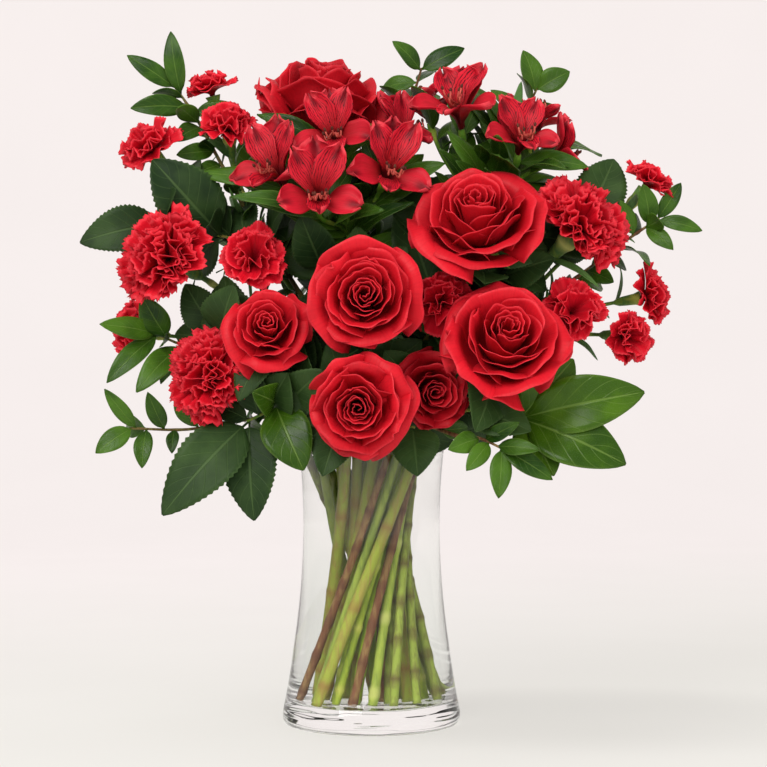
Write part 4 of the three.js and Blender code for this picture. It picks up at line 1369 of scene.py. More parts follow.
@dataclass(frozen=True)
class ClearFinish:
    """Glass or water, which light passes to reach what stands in it.

    Attributes:
        colour: its tint.
        bend: how far it bends light.
        waves, streaks: how uneven its surface is, and how much more so in the thick base.
    """

    name: str
    colour: Colour
    bend: float
    waves: float
    streaks: float

    def build(self) -> Material:
        """Makes the material.

        Returns:
            The material.
        """
        s = Shader(self.name)
        ripple = s.noise(s.place, (14, 14, 30), 1)
        s.feed(s.surface, {
            "Base Color": (*self.colour, 1.0),
            "Roughness": 0.0,
            "IOR": self.bend,
            "Specular Tint": (0.5, 0.5, 0.5, 1.0),
            "Transmission Weight": 1.0,
        })
        up = s.add("SeparateXYZ", {0: s.place}).outputs[2]
        rings = s.noise(s.place, (16, 16, 150), 1)
        base = s.times(s.step(up, 0.024, 0.012), self.streaks)
        s.bump(s.math("MULTIPLY_ADD", rings, base, s.times(ripple, self.waves)), 1.0, 0.002)
        clear = s.add("BsdfTransparent", {"Color": (*(mix(1, c, 0.5) for c in self.colour), 1.0)})
        s.cover(s.add("LightPath", {}).outputs["Is Shadow Ray"], clear.outputs[0])
        return s.material


@dataclass
class Rose:
    """A full rose: petals wound by the golden angle, from a tight middle to an open skirt.

    Attributes:
        petals: how many there are.
        open: how far the outer ones lean out, 1 being as far as the part's.
        point: how pointed the outer lips are.
        curl: how far the sides of the outer ones bend back.
        shade: how much darker the whole bloom is.
        spread, rise: how much wider and higher than its seat says.
    """

    PROFILES = (
        (0.0, ((0.01, 0.25), (0.08, 0.3), (0.09, 0.8), (0.05, 0.97))),
        (0.15, ((0.03, 0.2), (0.20, 0.24), (0.17, 0.75), (0.19, 1.0))),
        (0.4, ((0.05, 0.12), (0.42, 0.16), (0.32, 0.74), (0.43, 0.98))),
        (0.65, ((0.07, 0.1), (0.6, 0.12), (0.44, 0.66), (0.68, 0.88))),
        (0.85, ((0.08, 0.05), (0.78, 0.06), (0.56, 0.58), (0.88, 0.74))),
        (1.0, ((0.08, 0.03), (0.85, 0.0), (0.62, 0.5), (1.03, 0.56))),
    )
    COLUMNS, ROWS = 22, 14

    petals: int = 28
    open: float = 1.0
    point: float = 0.4
    curl: float = 0.2
    shade: float = 0.0
    spread: float = 1.05
    rise: float = 1.02

    def build(self, piece: Piece, seat: Seat) -> None:
        """Adds the petals on a seat to a piece.

        Args:
            piece: what gets them.
            seat: where it sits.
        """
        frame_of = seat.frame() @ Matrix.Diagonal((self.spread, self.spread, self.rise, 1))
        seed = seat.flower.middle[0]
        for k in range(self.petals):
            share = k / (self.petals - 1)
            shape = self.petal(k, share, seed)
            # Painted shade: inner petals get a lower tone, so a darker colour, and the bloom's shade
            # lowers the tone of every petal.
            tone = 0.88 + 0.12 * share + 0.16 * jitter(seed, k + 60) - self.shade
            piece.sheet(self.COLUMNS, self.ROWS, lambda u, v: frame_of @ shape(u, v), tone)

    def petal(self, k: int, share: float, seed: float) -> Shape:
        """The shape of a petal.

        Args:
            k: its number from the middle.
            share: how far out it is, from 0 to 1.
            seed: the bloom's seed.

        Returns:
            What gives its points, in shares of the radius.
        """
        middle, outer = smooth(0.12, 0.4, share), smooth(0.5, 0.95, share)
        lean = share * self.open + mix(0.025, 0.07, middle) * (1 - outer) * jitter(seed, k + 90)
        profile = between(self.PROFILES, min(1.0, lean))
        heading = k * GOLDEN_TURN + 0.4 * jitter(seed, k)
        half = radians(mix(mix(104, 70, smooth(0.0, 0.3, share)), 54, smooth(0.3, 0.75, share)))
        half *= 1 + 0.18 * middle * jitter(seed, k + 100)
        drop = mix(mix(0.03, 0.22, middle), self.point, outer) * (1 + 0.3 * jitter(seed, k + 80))
        roll = mix(0.02, 0.13, outer) * (1 + 0.6 * jitter(seed, k + 20))
        curl = self.curl * smooth(0.2, 0.8, share) * (1 + 0.5 * jitter(seed, k + 30))
        phase = 3 * jitter(seed, k + 40)
        reach = 1 + mix(0.06, 0.1, outer) * jitter(seed, k + 50) * middle
        skew = 0.45 * jitter(seed, k + 70)
        height = 1 + 0.07 * jitter(seed, k + 110)
        wave = mix(0.014, 0.032, share)
        round_off = mix(0.03, 0.2, middle)

        def shape(u: float, v: float) -> Vector:
            """A point of the petal.

            Args:
                u, v: the place across and along.

            Returns:
                The point.
            """
            side = abs(u - skew * (1 - u * u))
            turn = heading + half * u * mix(0.45, 1.0, smooth(0.0, 0.5, v))
            depth = v * (1 - drop * side ** 1.3 - round_off * side ** 6)
            depth -= 0.5 * v * wave * sin(9 * u + phase)
            out, up = cubic(profile, depth)
            run, rise = slope(profile, depth)
            push = 0.03 * u + roll * smooth(0.72, 1.0, v) ** 2
            push += curl * side * side * smooth(0.4, 1.0, v) ** 1.5
            push += wave * (sin(4.6 * u + phase) * v * v + 0.6 * sin(11 * u - phase) * v ** 4)
            out = (out + push * rise) * mix(1.0, reach, v)
            return around(out, 0.0, (up - push * run) * height, turn)

        return shape


@dataclass
class Ruffled:
    """A carnation: fans of ruffled, toothed petals over a dome.

    Attributes:
        petals, columns, rows: how many there are, and the faces across and along each.
        inner, outer: half the width of the inner and outer lips, in shares of the radius.
        ruffle: how far the lips wave.
        tooth: how deep their teeth are.
        rag: how unlike each other they are.
        dome: how round their lips are.
        droop: the angle that the outer ones reach from the axis, in degrees.
        skirt: how many of the petals lie in one broad outer ring.
    """

    petals: int
    columns: int
    rows: int
    inner: float
    outer: float
    ruffle: float
    tooth: float
    rag: float
    dome: float = 0.2
    droop: float = 98
    skirt: int = 0

    def build(self, piece: Piece, seat: Seat) -> None:
        """Adds the petals on a seat to a piece.

        Args:
            piece: what gets them.
            seat: where it sits.
        """
        frame_of = seat.frame()
        seed = seat.flower.middle[0] + seat.flower.middle[2]
        heart = self.petals - self.skirt
        for k in range(self.petals):
            share = sqrt((k + 0.5) / heart) * (0.66 if self.skirt else 1) if k < heart else 1.0
            shape = self.petal(k, share, seed)
            # Painted shade: inner petals get a lower tone, so a darker colour.
            tone = 0.82 + 0.18 * share + 0.14 * jitter(seed, k + 70)
            piece.sheet(self.columns, self.rows, lambda u, v: frame_of @ shape(u, v), tone)

    def petal(self, k: int, share: float, seed: float) -> Shape:
        """The shape of a petal.

        Args:
            k: its number from the middle.
            share: how far out it is, from 0 to 1.
            seed: the bloom's seed.

        Returns:
            What gives its points, in shares of the radius.
        """
        skirted = k >= self.petals - self.skirt
        even = 2 * pi * k / self.skirt if skirted else k * GOLDEN_TURN
        heading = even + 0.25 * jitter(seed, k)
        lean = radians(self.droop * share + 75 * self.rag * jitter(seed, k + 10))
        reach = 1.03 + self.rag * jitter(seed, k + 20)
        lip = (sin(lean) * reach, 0.3 + 0.6 * cos(lean) * reach)
        back = 0.36 * mix(0.8, 1.0, share)
        tilt = lean * 0.95
        profile = (
            (0.03, 0.0),
            (mix(0.05, 0.12, share), 0.34),
            (lip[0] - back * sin(tilt), max(0.18, lip[1] - back * cos(tilt))),
            lip,
        )
        half = mix(self.inner, self.outer, share) * (1 + 1.4 * self.rag * jitter(seed, k + 30))
        waves = (2.1 if self.skirt else 2.4) + 0.7 * jitter(seed, k + 40)
        phase = 3.1 * jitter(seed, k + 50)
        ruffle = self.ruffle * (1 + 0.4 * jitter(seed, k + 60)) * (0.75 if skirted else 1)
        fold = mix(0.34, 0.04, share) * (1.0 if jitter(seed, k + 80) > 0 else -1.0)
        teeth = pi * self.columns / 2

        def shape(u: float, v: float) -> Vector:
            """A point of the petal.

            Args:
                u, v: the place across and along.

            Returns:
                The point.
            """
            depth = v * (1 - self.dome * u * u)
            depth += self.tooth * cos(teeth * u) * smooth(0.86, 1.0, v)
            out, up = cubic(profile, min(1.0, depth))
            run, rise = slope(profile, min(1.0, depth))
            over = max(0.0, depth - 1.0) * 0.6
            wide = half * (0.14 + 0.86 * smooth(0.05, 1.0, v) ** 1.1)
            push = ruffle * v * v * sin(pi * waves * u + phase)
            push += 0.3 * ruffle * v ** 3 * sin(8.7 * u - phase)
            push += fold * wide * abs(u)
            out, up = out + push * rise + over * run, up - push * run + over * rise
            return around(out, wide * u, up, heading)

        return shape


@dataclass
class Floret:
    """An alstroemeria floret: three broad outer tepals, three narrow inner ones and six stamens.

    Attributes:
        width: half the width of the broadest tepal, in shares of the radius.
        size: how much larger than its seat says.
        columns, rows: the faces across and along each.
    """

    UPPER = ((0.05, 0.02), (0.08, 0.5), (0.42, 0.6), (1.08, 0.96))
    LATERAL = ((0.05, 0.02), (0.1, 0.45), (0.42, 0.52), (1.0, 0.74))
    INNER = ((0.04, 0.04), (0.08, 0.62), (0.34, 0.76), (1.04, 1.12))
    LOWER = ((0.04, 0.04), (0.08, 0.58), (0.32, 0.6), (0.8, 0.84))
    TEPALS = (
        (90, UPPER, 1.0, False),
        (205, LATERAL, 0.84, False),
        (335, LATERAL, 0.84, False),
        (270, LOWER, 0.56, True),
        (60, INNER, 0.74, True),
        (120, INNER, 0.74, True),
    )
    STAMENS = 6

    width: float = 0.47
    size: float = 1.1
    columns: int = 12
    rows: int = 18

    def build(self, piece: Piece, seat: Seat) -> None:
        """Adds the tepals and stamens on a seat to a piece.

        Args:
            piece: what gets them.
            seat: where it sits.
        """
        frame_of = seat.frame() @ Matrix.Scale(self.size, 4)
        seed = seat.flower.middle[0]
        for k, (turn, profile, share, inner) in enumerate(self.TEPALS):
            heading = radians(turn + 7 * jitter(seed, k))
            shape = self.tepal(profile, heading, share * self.width, seed + k)
            tone = 0.88 + 0.07 * jitter(seed, k + 3) + (0.3 if inner else 0)
            piece.sheet(self.columns, self.rows, lambda u, v: frame_of @ shape(u, v), tone)
        for k in range(self.STAMENS):
            self.stamen(piece, frame_of, k, seed)

    @staticmethod
    def tepal(profile: Profile, turn: float, half: float, seed: float) -> Shape:
        """The shape of a tepal.

        Args:
            profile: its curve from the throat to its tip.
            turn: the way that it heads.
            half: half its width.
            seed: its seed.

        Returns:
            What gives its points, in shares of the radius.
        """
        cup = 0.14 + 0.06 * jitter(seed, 1)
        lift = 0.07 * jitter(seed, 2)
        tip = 0.03 + 0.1 * jitter(seed, 3)
        reach = 1 + 0.08 * jitter(seed, 5)

        def shape(u: float, v: float) -> Vector:
            """A point of the tepal.

            Args:
                u, v: the place across and along.

            Returns:
                The point.
            """
            depth = v * (0.98 - 0.03 * sin(7 * u + seed) * v ** 6)
            out, up = cubic(profile, depth)
            run, rise = slope(profile, depth)
            blunt = sqrt(max(0.0, 1 - max(0.0, (v - 0.74) / 0.265) ** 2))
            wide = half * max(0.16, min(1.0, (v / 0.74) ** 1.05)) * blunt
            push = -cup * u * u * smooth(0.15, 0.6, v) + 0.04 * sin(5 * u + seed) * v * v
            push += 0.035 * sin(9 * v + seed) * u * u + tip * smooth(0.7, 1.0, v) ** 2 - lift * v
            return around((out + push * rise) * reach, wide * u, (up - push * run) * reach, turn)

        return shape

    @staticmethod
    def stamen(piece: Piece, matrix: Matrix, k: int, seed: float) -> None:
        """Adds one stamen, which leaves the throat, bends down and curls up to its anther.

        Args:
            piece: what gets it.
            matrix: the floret's frame.
            k: its number.
            seed: the floret's seed.
        """
        aside = 0.16 * sin(2.4 * k + seed)
        reach = 0.8 + 0.12 * jitter(seed, k + 20)
        marks = (
            (0.0, 0.0, 0.35),
            (0.25 * aside, -0.06, 0.62),
            (0.8 * aside, -0.2, 0.82 * reach + 0.05),
            (1.1 * aside, -0.3 + 0.05 * jitter(seed, k), 1.05 * reach),
            (1.3 * aside, -0.24, 1.18 * reach),
        )
        points = [(matrix @ Vector(mark)) / MM for mark in marks]
        line = smooth_line(points, 4)
        piece.tube(line, [0.45] * len(line), 6, 0.5, 1)
        tip, along = line[-1], (line[-1] - line[-2]).normalized()
        anther = [tip + along * (0.7 * i) for i in range(5)]
        piece.tube(anther, [0.3, 0.7, 0.85, 0.65, 0.2], 8, 0.5, 2)


@dataclass
class Leafage:
    """The blades of leaves of every form, and extra ones that fill out the foliage.

    Attributes:
        fold: how far the halves of a blade fold up from the midrib.
        arch: how far a blade arches, as a share of its length.
    """

    # The faces across and along a blade, and the teeth along a rose leaf.
    GRIDS = {
        Form.ROSE: (8, 40), Form.SPRIG: (6, 14), Form.STRAP: (6, 18), Form.LOBE: (8, 20),
    }
    TEETH = 20

    # The form, length and width of each kind's extra leaves, and the space between them on a stem.
    EXTRAS = {
        Kind.ROSE: (Form.ROSE, 46, 30),
        Kind.CARNATION: (Form.STRAP, 48, 5),
        Kind.SPRAY: (Form.STRAP, 40, 5),
        Kind.ALSTROEMERIA: (Form.SPRIG, 54, 15),
        Kind.WOODY: (Form.SPRIG, 26, 13),
        Kind.STALK: (Form.ROSE, 44, 28),
    }
    SPACING = {
        Kind.ROSE: 9, Kind.CARNATION: 26, Kind.SPRAY: 20, Kind.ALSTROEMERIA: 7, Kind.WOODY: 12,
        Kind.STALK: 12,
    }
    TRIES = 20

    # The place that extra leaves lie away from, and what they keep to, in millimetres.
    HEART = (0, 30, 250)
    BARE_BELOW, LOWEST_TIP, BOX_MARGIN, LEAF_ROOM = 206, 196, 4, 6
    BLOOM_ROOM, MARKS = 0.95, (0.3, 0.6, 0.9)

    # Leaves that close gaps at the front: the plant, the tip, the width and the form of each.
    SLENDER = 1.9
    FILLERS = (
        ("sprig_2", (50, 14, 374), 26, Form.SPRIG),
        ("sprig_2", (38, 22, 336), 28, Form.ROSE),
        ("rose_2_stem", (6, -8, 374), 34, Form.ROSE),
        ("spray_4_stem", (20, -22, 364), 36, Form.ROSE),
        ("spray_4_stem", (38, -26, 346), 34, Form.ROSE),
        ("back_spray_2", (34, 30, 382), 30, Form.ROSE),
    )

    fold: float = 0.16
    arch: float = 0.1

    def marks(self, leaf: GrownLeaf) -> list[np.ndarray]:
        """Points along a leaf."""
        return [np.array(leaf.root + leaf.reach * share) for share in self.MARKS]

    def extra(self, grown: dict[str, Grown], seats: dict[str, Seat]) -> None:
        """Adds leaves along every stem above the vase.

        Args:
            grown: what gets them.
            seats: the blooms, which they leave free.
        """
        taken = [mark for plant in grown.values() for leaf in plant.leaves for mark in self.marks(leaf)]
        self.fill(grown)
        for plant in grown.values():
            form, length, width = self.EXTRAS[plant.plant.kind]
            for run, (path, radii) in enumerate(plant.runs):
                points, *_ = resampled(path, radii, self.SPACING[plant.plant.kind])
                for point in points[:-1]:
                    if point.z < self.BARE_BELOW:
                        continue
                    seed = point.x * 1.7 + point.z + 31 * run
                    for attempt in range(self.TRIES):
                        leaf = self.sprout(point, form, length, width, seed + 13.7 * attempt)
                        if self.clears(leaf, seats, taken):
                            taken += self.marks(leaf)
                            plant.leaves.append(leaf)
                            break

    def fill(self, grown: dict[str, Grown]) -> None:
        """Adds the leaves that close gaps at the front.

        Args:
            grown: what gets them.
        """
        for name, tip, width, form in self.FILLERS:
            target = Vector(tip)
            points = [point for path, _ in grown[name].runs for point in path
                      if point.z > self.BARE_BELOW]
            root = min(points, key=lambda point: abs((point - target).length - self.SLENDER * width))
            leaf = GrownLeaf(root, target - root, width, form, -BACK, tip[0] + tip[2])
            grown[name].leaves.append(leaf)

    def clears(self, leaf: GrownLeaf, seats: dict[str, Seat], taken: list[np.ndarray]) -> bool:
        """Whether a leaf keeps inside the part's box and clear of the vase, the blooms and others.

        Args:
            leaf: the leaf.
            seats: the blooms.
            taken: the points along the other leaves.

        Returns:
            True where it does.
        """
        marks, tip = self.marks(leaf), np.array(leaf.root + leaf.reach)
        low = np.array(part_box[0]) / MM + self.BOX_MARGIN
        high = np.array(part_box[1]) / MM - self.BOX_MARGIN
        if (tip < low).any() or (tip > high).any() or tip[2] < self.LOWEST_TIP:
            return False
        for seat in seats.values():
            gaps = [np.linalg.norm(mark - np.array(seat.flower.middle)) for mark in [*marks, tip]]
            if min(gaps) < self.BLOOM_ROOM * seat.radius:
                return False
        return min(np.linalg.norm(mark - other) for mark in marks for other in taken) >= self.LEAF_ROOM

    def sprout(self, root: Vector, form: Form, length: float, width: float, seed: float) -> GrownLeaf:
        """A leaf that lies over the outside of the bouquet.

        Args:
            root: the point of a stem where it grows.
            form: its outline.
            length, width: its usual size, in millimetres.
            seed: what its own size and direction are drawn from.

        Returns:
            The leaf.
        """
        outward = (root - Vector(self.HEART)).normalized()
        x, y, z = facing(outward)
        turn = pi * jitter(seed, 1)
        size = length * (1 + 0.25 * jitter(seed, 2))
        reach = (x * cos(turn) + y * sin(turn) + UP * 0.3 + z * 0.3).normalized() * size
        outward = outward.lerp(-BACK, 0.6 * smooth(20, -20, root.y))
        return GrownLeaf(root, reach, width * (1 + 0.2 * jitter(seed, 3)), form, outward, seed)

    def build(self, piece: Piece, leaf: GrownLeaf, material: int) -> None:
        """Adds a leaf to a piece.

        Args:
            piece: what gets it.
            leaf: the leaf.
            material: the number of its material.
        """
        columns, rows = self.GRIDS[leaf.form]
        tone = 0.5 + 0.5 * jitter(leaf.seed, 3)
        piece.sheet(columns, rows, self.blade(leaf), tone, material)

    def blade(self, leaf: GrownLeaf) -> Shape:
        """The shape of a leaf's blade.

        Args:
            leaf: the leaf.

        Returns:
            What gives its points, in metres.
        """
        length = leaf.reach.length
        along = leaf.reach / length
        side = along.cross(leaf.outward).normalized()
        face = side.cross(along)
        half = leaf.width / 2
        twist = 0.3 * jitter(leaf.seed, 1)
        wave = 0.03 * length * (0.6 + 0.4 * jitter(leaf.seed, 2))
        phase = 3 * jitter(leaf.seed, 4)

        def place(u: float, v: float) -> Vector:
            """A point of the blade.

            Args:
                u, v: the place across and along.

            Returns:
                The point.
            """
            wide = half * self.outline(leaf.form, u, v)
            lift = self.fold * wide * abs(u) + self.arch * length * sin(pi * v)
            lift += wave * u * u * sin(7 * v + phase) + twist * wide * u * v
            return (leaf.root + along * (length * v) + side * (wide * u) + face * lift) * MM

        return place

    def outline(self, form: Form, u: float, v: float) -> float:
        """Half a blade's width, as a share of its widest.

        Args:
            form: its outline.
            u, v: the place across, from -1 to 1, and along, from 0 to 1.

        Returns:
            The share.
        """
        if form is Form.STRAP:
            return 0.25 + 0.75 * smooth(0.0, 0.25, v) if v < 0.5 else max(0.02, (2 - 2 * v) ** 0.6)
        neck, belly = (0.09, 0.72) if form is Form.ROSE else (0.06, 0.85)
        t = max(0.0, (v - neck) / (1 - neck))
        swell = sin(pi * t ** belly) ** 0.7 if 0 < t < 1 else 0
        if form is Form.ROSE and abs(u) > 0.9 and 0 < t < 1:
            swell *= 1 + 0.035 * cos(2 * pi * self.TEETH * v)
        return max(0.035, swell)


@dataclass
class StemWork:
    """Stems with their joints, calyxes and sepals.

    Attributes:
        step: the distance between rings along a stem, in millimetres.
        sides: the faces around it.
    """

    # The distance between joints in millimetres, and their swelling as a share.
    JOINTS = {
        Kind.ROSE: (58, 0.12),
        Kind.CARNATION: (52, 0.34),
        Kind.SPRAY: (44, 0.32),
        Kind.ALSTROEMERIA: (38, 0.08),
        Kind.WOODY: (27, 0.22),
        Kind.STALK: (60, 0.1),
    }
    JOINT_LENGTH, SEPALS = 3.2, 5

    step: float = 4.0
    sides: int = 12

    def build(self, piece: Piece, grown: Grown, seats: dict[str, Seat]) -> None:
        """Adds a plant's stem, branches and twigs to a piece, with its roses' sepals.

        Args:
            piece: what gets them.
            grown: the plant.
            seats: where the blooms sit.
        """
        spacing, swell = self.JOINTS[grown.plant.kind]
        seed = grown.lines[0][0].x
        for number, (path, radii) in enumerate(grown.runs):
            points, sizes, stops = resampled(path, radii, self.step)
            shift = spacing * (0.5 + 0.4 * jitter(seed, number))
            bumps = [self.joint(stop, shift, spacing) for stop in stops]
            widths = [size * (1 + swell * bump) for size, bump in zip(sizes, bumps)]
            first = len(piece.bm.verts)
            piece.tube(points, widths, self.sides)
            self.tint(piece, first, points, bumps)
        for name in grown.plant.blooms:
            if grown.plant.kind is Kind.ROSE:
                self.sepals(piece, seats[name])

    @staticmethod
    def joint(stop: float, shift: float, spacing: float) -> float:
        """How much a joint shows at a distance along a stem, from 0 to 1."""
        away = (stop - shift + spacing / 2) % spacing - spacing / 2
        return exp(-(away / StemWork.JOINT_LENGTH) ** 2)

    @staticmethod
    def tint(piece: Piece, first: int, points: Sequence[Vector], bumps: Sequence[float]) -> None:
        """Writes the joints into the tones of a tube's points.

        Args:
            piece: the piece that has the tube.
            first: the number of the tube's first point.
            points: its axis.
            bumps: how much a joint shows at each point of the axis.
        """
        piece.bm.verts.ensure_lookup_table()
        spots = np.array(points)
        for vert in piece.bm.verts[first:]:
            nearest = int(np.linalg.norm(spots - np.array(vert.co / MM), axis=1).argmin())
            vert[piece.tone] = 0.5 + 0.5 * bumps[nearest]

    @staticmethod
    def sepals(piece: Piece, seat: Seat) -> None:
        """Adds narrow sepals that lie back under a rose.

        Args:
            piece: what gets them.
            seat: where the rose sits.
        """
        matrix = seat.frame()
        for k in range(StemWork.SEPALS):
            turn = 2 * pi * k / StemWork.SEPALS + jitter(seat.radius, k)
            droop = 0.12 + 0.08 * jitter(seat.radius, k + 9)

            def place(u: float, v: float) -> Vector:
                """A point of the sepal.

                Args:
                    u, v: the place across and along.

                Returns:
                    The point.
                """
                up = -0.02 - droop * v * v - 0.03 * u * u
                side = 0.09 * u * (1 - v) ** 0.7 * (0.5 + 0.5 * smooth(0, 0.2, v))
                return matrix @ around(mix(0.1, 0.66, v), side, up, turn)

            piece.sheet(2, 6, place, 0.4)


@dataclass
class Vase:
    """The flared glass vase on its thick base, with waves in its wall, and the water in it.

    Attributes:
        hollow: the outline under its base in millimetres, from the axis out.
        outer, inner: its outlines from the foot up and from the lip down to the axis.
        depth: the height of the water.
        overlap: how far the water reaches into the glass, so that no film of air shows.
        sides: the faces round it.
    """

    # How the water's top turns up to the glass, as (in from the glass, up), and where that begins.
    EDGE = ((0, 1.2), (1.6, 0.4), (4, 0))
    EDGE_DEPTH, CALM = 1.5, 20

    hollow: Profile = ((0, 1.6), (30, 1.5), (46, 1.2), (52, 0.5), (54.5, 0.1))
    outer: Profile = ((56.5, 0), (60.2, 1.4), (62, 5), (61.6, 11), (59.6, 21), (57.2, 35), (55, 50),
                      (50, 90), (47.8, 130), (48.5, 165), (51, 195), (51.6, 201.5))
    inner: Profile = ((50.6, 203), (49, 201.8), (48.5, 195), (46, 165), (45.3, 130), (47.3, 92),
                      (51.8, 55), (55.4, 32), (57, 23), (55.5, 17.5), (50, 15.4), (30, 15), (0, 15))
    depth: float = 192
    overlap: float = 0.35
    sides: int = 128

    def build(self) -> None:
        """Makes the glass and the water."""
        glass = Piece("vase_glass")
        glass.turned([*self.hollow, *self.rounded(self.outer), *self.rounded(self.inner)], self.sides)
        glass.finish([GLASS.build()], ["vase"], "glass")
        water = Piece("water_body")
        water.turned(self.wet(), self.sides)
        water.finish([WATER.build()], ["water"], "water")

    def wet(self) -> list[Pair]:
        """The water's outline.

        Returns:
            Points from the axis, up along the glass and in along the top to the axis.
        """
        inner = reversed(self.rounded(self.inner))
        wall = [(out + self.overlap, up - self.overlap) for out, up in inner
                if up < self.depth - self.EDGE_DEPTH]
        wall[0] = (0, self.inner[-1][1] - self.overlap)
        heights, radii = zip(*sorted((up, out) for out, up in self.inner[1:-2]))
        edge = np.interp(self.depth, heights, radii) + self.overlap
        rim = [(edge - back, self.depth + up) for back, up in self.EDGE]
        return [*wall, *rim, (self.CALM, self.depth), (0, self.depth)]

    @staticmethod
    def rounded(profile: Profile) -> list[Pair]:
        """A profile with rounded turns."""
        line = smooth_line([Vector((out, up, 0)) for out, up in profile], 4)
        return [(max(0.0, point.x), max(0.0, point.y)) for point in line]


@dataclass
class Studio:
    """The pale floor, the soft light and the camera.

    Attributes:
        distance: how far the camera stands from the part's middle plane, in millimetres.
        aim: the point of that plane in the middle of its view.
        width: the width of that plane that it sees.
        sensor: the width of its sensor.
    """

    # The name, place, size, power and colour of each lamp, and the place that all of them light.
    LAMPS = (
        ("key_light", (-1.0, -1.7, 1.7), 1.3, 44, (1.0, 0.97, 0.94)),
        ("fill_light", (1.5, -1.6, 0.7), 1.6, 26, (1.0, 0.98, 0.97)),
        ("top_light", (-0.3, 0.1, 2.3), 1.5, 16, (1.0, 1.0, 1.0)),
        ("low_light", (-0.3, -2.6, 0.8), 0.8, 14, (1.0, 0.99, 0.96)),
    )
    LIT = (0, 0, 0.25)

    # The floor, in metres: half its width, its front, where it bends up and how widely, and its run.
    HALF, FRONT, REAR, BEND, RISE = 3.5, -3.0, 1.6, 0.8, 3.0
    FLOOR_ROWS = 80

    distance: float = 1500
    aim: Pair = (8.4, 237.65)
    width: float = 536.9
    sensor: float = 36.0

    def build(self) -> None:
        """Sets it all up."""
        scene = bpy.context.scene
        scene.view_settings.view_transform = "Standard"
        scene.view_settings.look = "None"
        self.floor()
        self.world(scene)
        for lamp in self.LAMPS:
            self.lamp(*lamp)
        self.camera(scene)

    def camera(self, scene: bpy.types.Scene) -> None:
        """Puts the camera level in front of the part.

        Args:
            scene: what gets it.
        """
        data = bpy.data.cameras.new("camera")
        data.sensor_width = self.sensor
        data.lens = self.sensor * self.distance / self.width
        data.clip_end = 50
        camera = bpy.data.objects.new("camera", data)
        camera.location = Vector((self.aim[0], -self.distance, self.aim[1])) * MM
        camera.rotation_euler = (pi / 2, 0, 0)
        scene.collection.objects.link(camera)
        scene.camera = camera

    @staticmethod
    def world(scene: bpy.types.Scene) -> None:
        """Fills the surroundings with an even pale light.

        Args:
            scene: what gets it.
        """
        world = bpy.data.worlds.new("surroundings")
        world.use_nodes = True
        ground = world.node_tree.nodes["Background"]
        ground.inputs["Color"].default_value = (1.0, 0.985, 0.965, 1.0)
        ground.inputs["Strength"].default_value = 0.5
        scene.world = world

    def lamp(self, name: str, place: Place, size: float, power: float, colour: Colour) -> None:
        """Adds a soft square lamp that points at the bouquet.

        Args:
            name, place, size, power, colour: as LAMPS gives them.
        """
        data = bpy.data.lights.new(name, "AREA")
        data.size = size
        data.energy = power
        data.color = colour
        lamp = bpy.data.objects.new(name, data)
        lamp.location = place
        lamp.visible_glossy = name == "key_light"
        lamp.visible_transmission = False
        aim = Vector(self.LIT) - Vector(place)
        lamp.rotation_euler = aim.to_track_quat("-Z", "Y").to_euler()
        bpy.context.scene.collection.objects.link(lamp)

    def floor(self) -> None:
        """Makes a floor that sweeps up into a backdrop."""
        bm = bmesh.new()

        def place(u: float, v: float) -> Vector:
            """A point of the floor or the backdrop.

            Args:
                u, v: the place across and along.

            Returns:
                The point.
            """
            run = mix(self.FRONT, self.REAR + self.RISE, v)
            if run < self.REAR:
                return Vector((self.HALF * u, run, 0))
            turn = min(pi / 2, (run - self.REAR) / self.BEND)
            rest = max(0.0, run - self.REAR - self.BEND * pi / 2)
            return Vector((self.HALF * u, self.REAR + self.BEND * sin(turn),
                           self.BEND * (1 - cos(turn)) + rest))

        grid = bmesh.ops.create_grid(bm, x_segments=2, y_segments=self.FLOOR_ROWS, size=1.0)
        for vert in grid["verts"]:
            vert.co = place(vert.co.x, (vert.co.y + 1) / 2)
        mesh = bpy.data.meshes.new("floor")
        bm.to_mesh(mesh)
        bm.free()
        mesh.shade_smooth()
        mesh.materials.append(self.paper())
        floor = bpy.data.objects.new("floor", mesh)
        bpy.context.scene.collection.objects.link(floor)

    @staticmethod
    def paper() -> Material:
        """Makes the pale paper, a little warmer and painted darker in front, with a painted soft shadow
        at the vase's right.

        Returns:
            The material.
        """
        s = Shader("pale_paper")
        x, y, _ = s.add("SeparateXYZ", {0: s.place}).outputs
        # Painted shade: the paper's glow is darker in front and towards the right than on the backdrop.
        far = s.step(s.math("MULTIPLY_ADD", x, -0.5, y), -0.2, 1.7)
        # Painted shadow: a soft patch at the vase's right dims the glow by up to 13 percent.
        beside = s.math("MULTIPLY_ADD", x, 5.0, -0.8)
        behind = s.math("MULTIPLY_ADD", y, 6.5, -0.15)
        away = s.math("MULTIPLY_ADD", beside, beside, s.times(behind, behind))
        shade = s.times(s.step(away, 1.3, 0.0), 0.13)
        grain = s.ramp(s.noise(s.place, (6, 6, 6), 2),
                       (0.3, (0.195, 0.195, 0.195)), (0.7, (0.205, 0.205, 0.205)))
        s.feed(s.surface, {
            "Base Color": grain,
            "Roughness": 0.9,
            "Specular IOR Level": 0.1,
            "Emission Color": s.mixed(far, (0.59, 0.57, 0.53), (0.716, 0.655, 0.643)),
            "Emission Strength": s.math("SUBTRACT", 1.0, shade),
        })
        return s.material
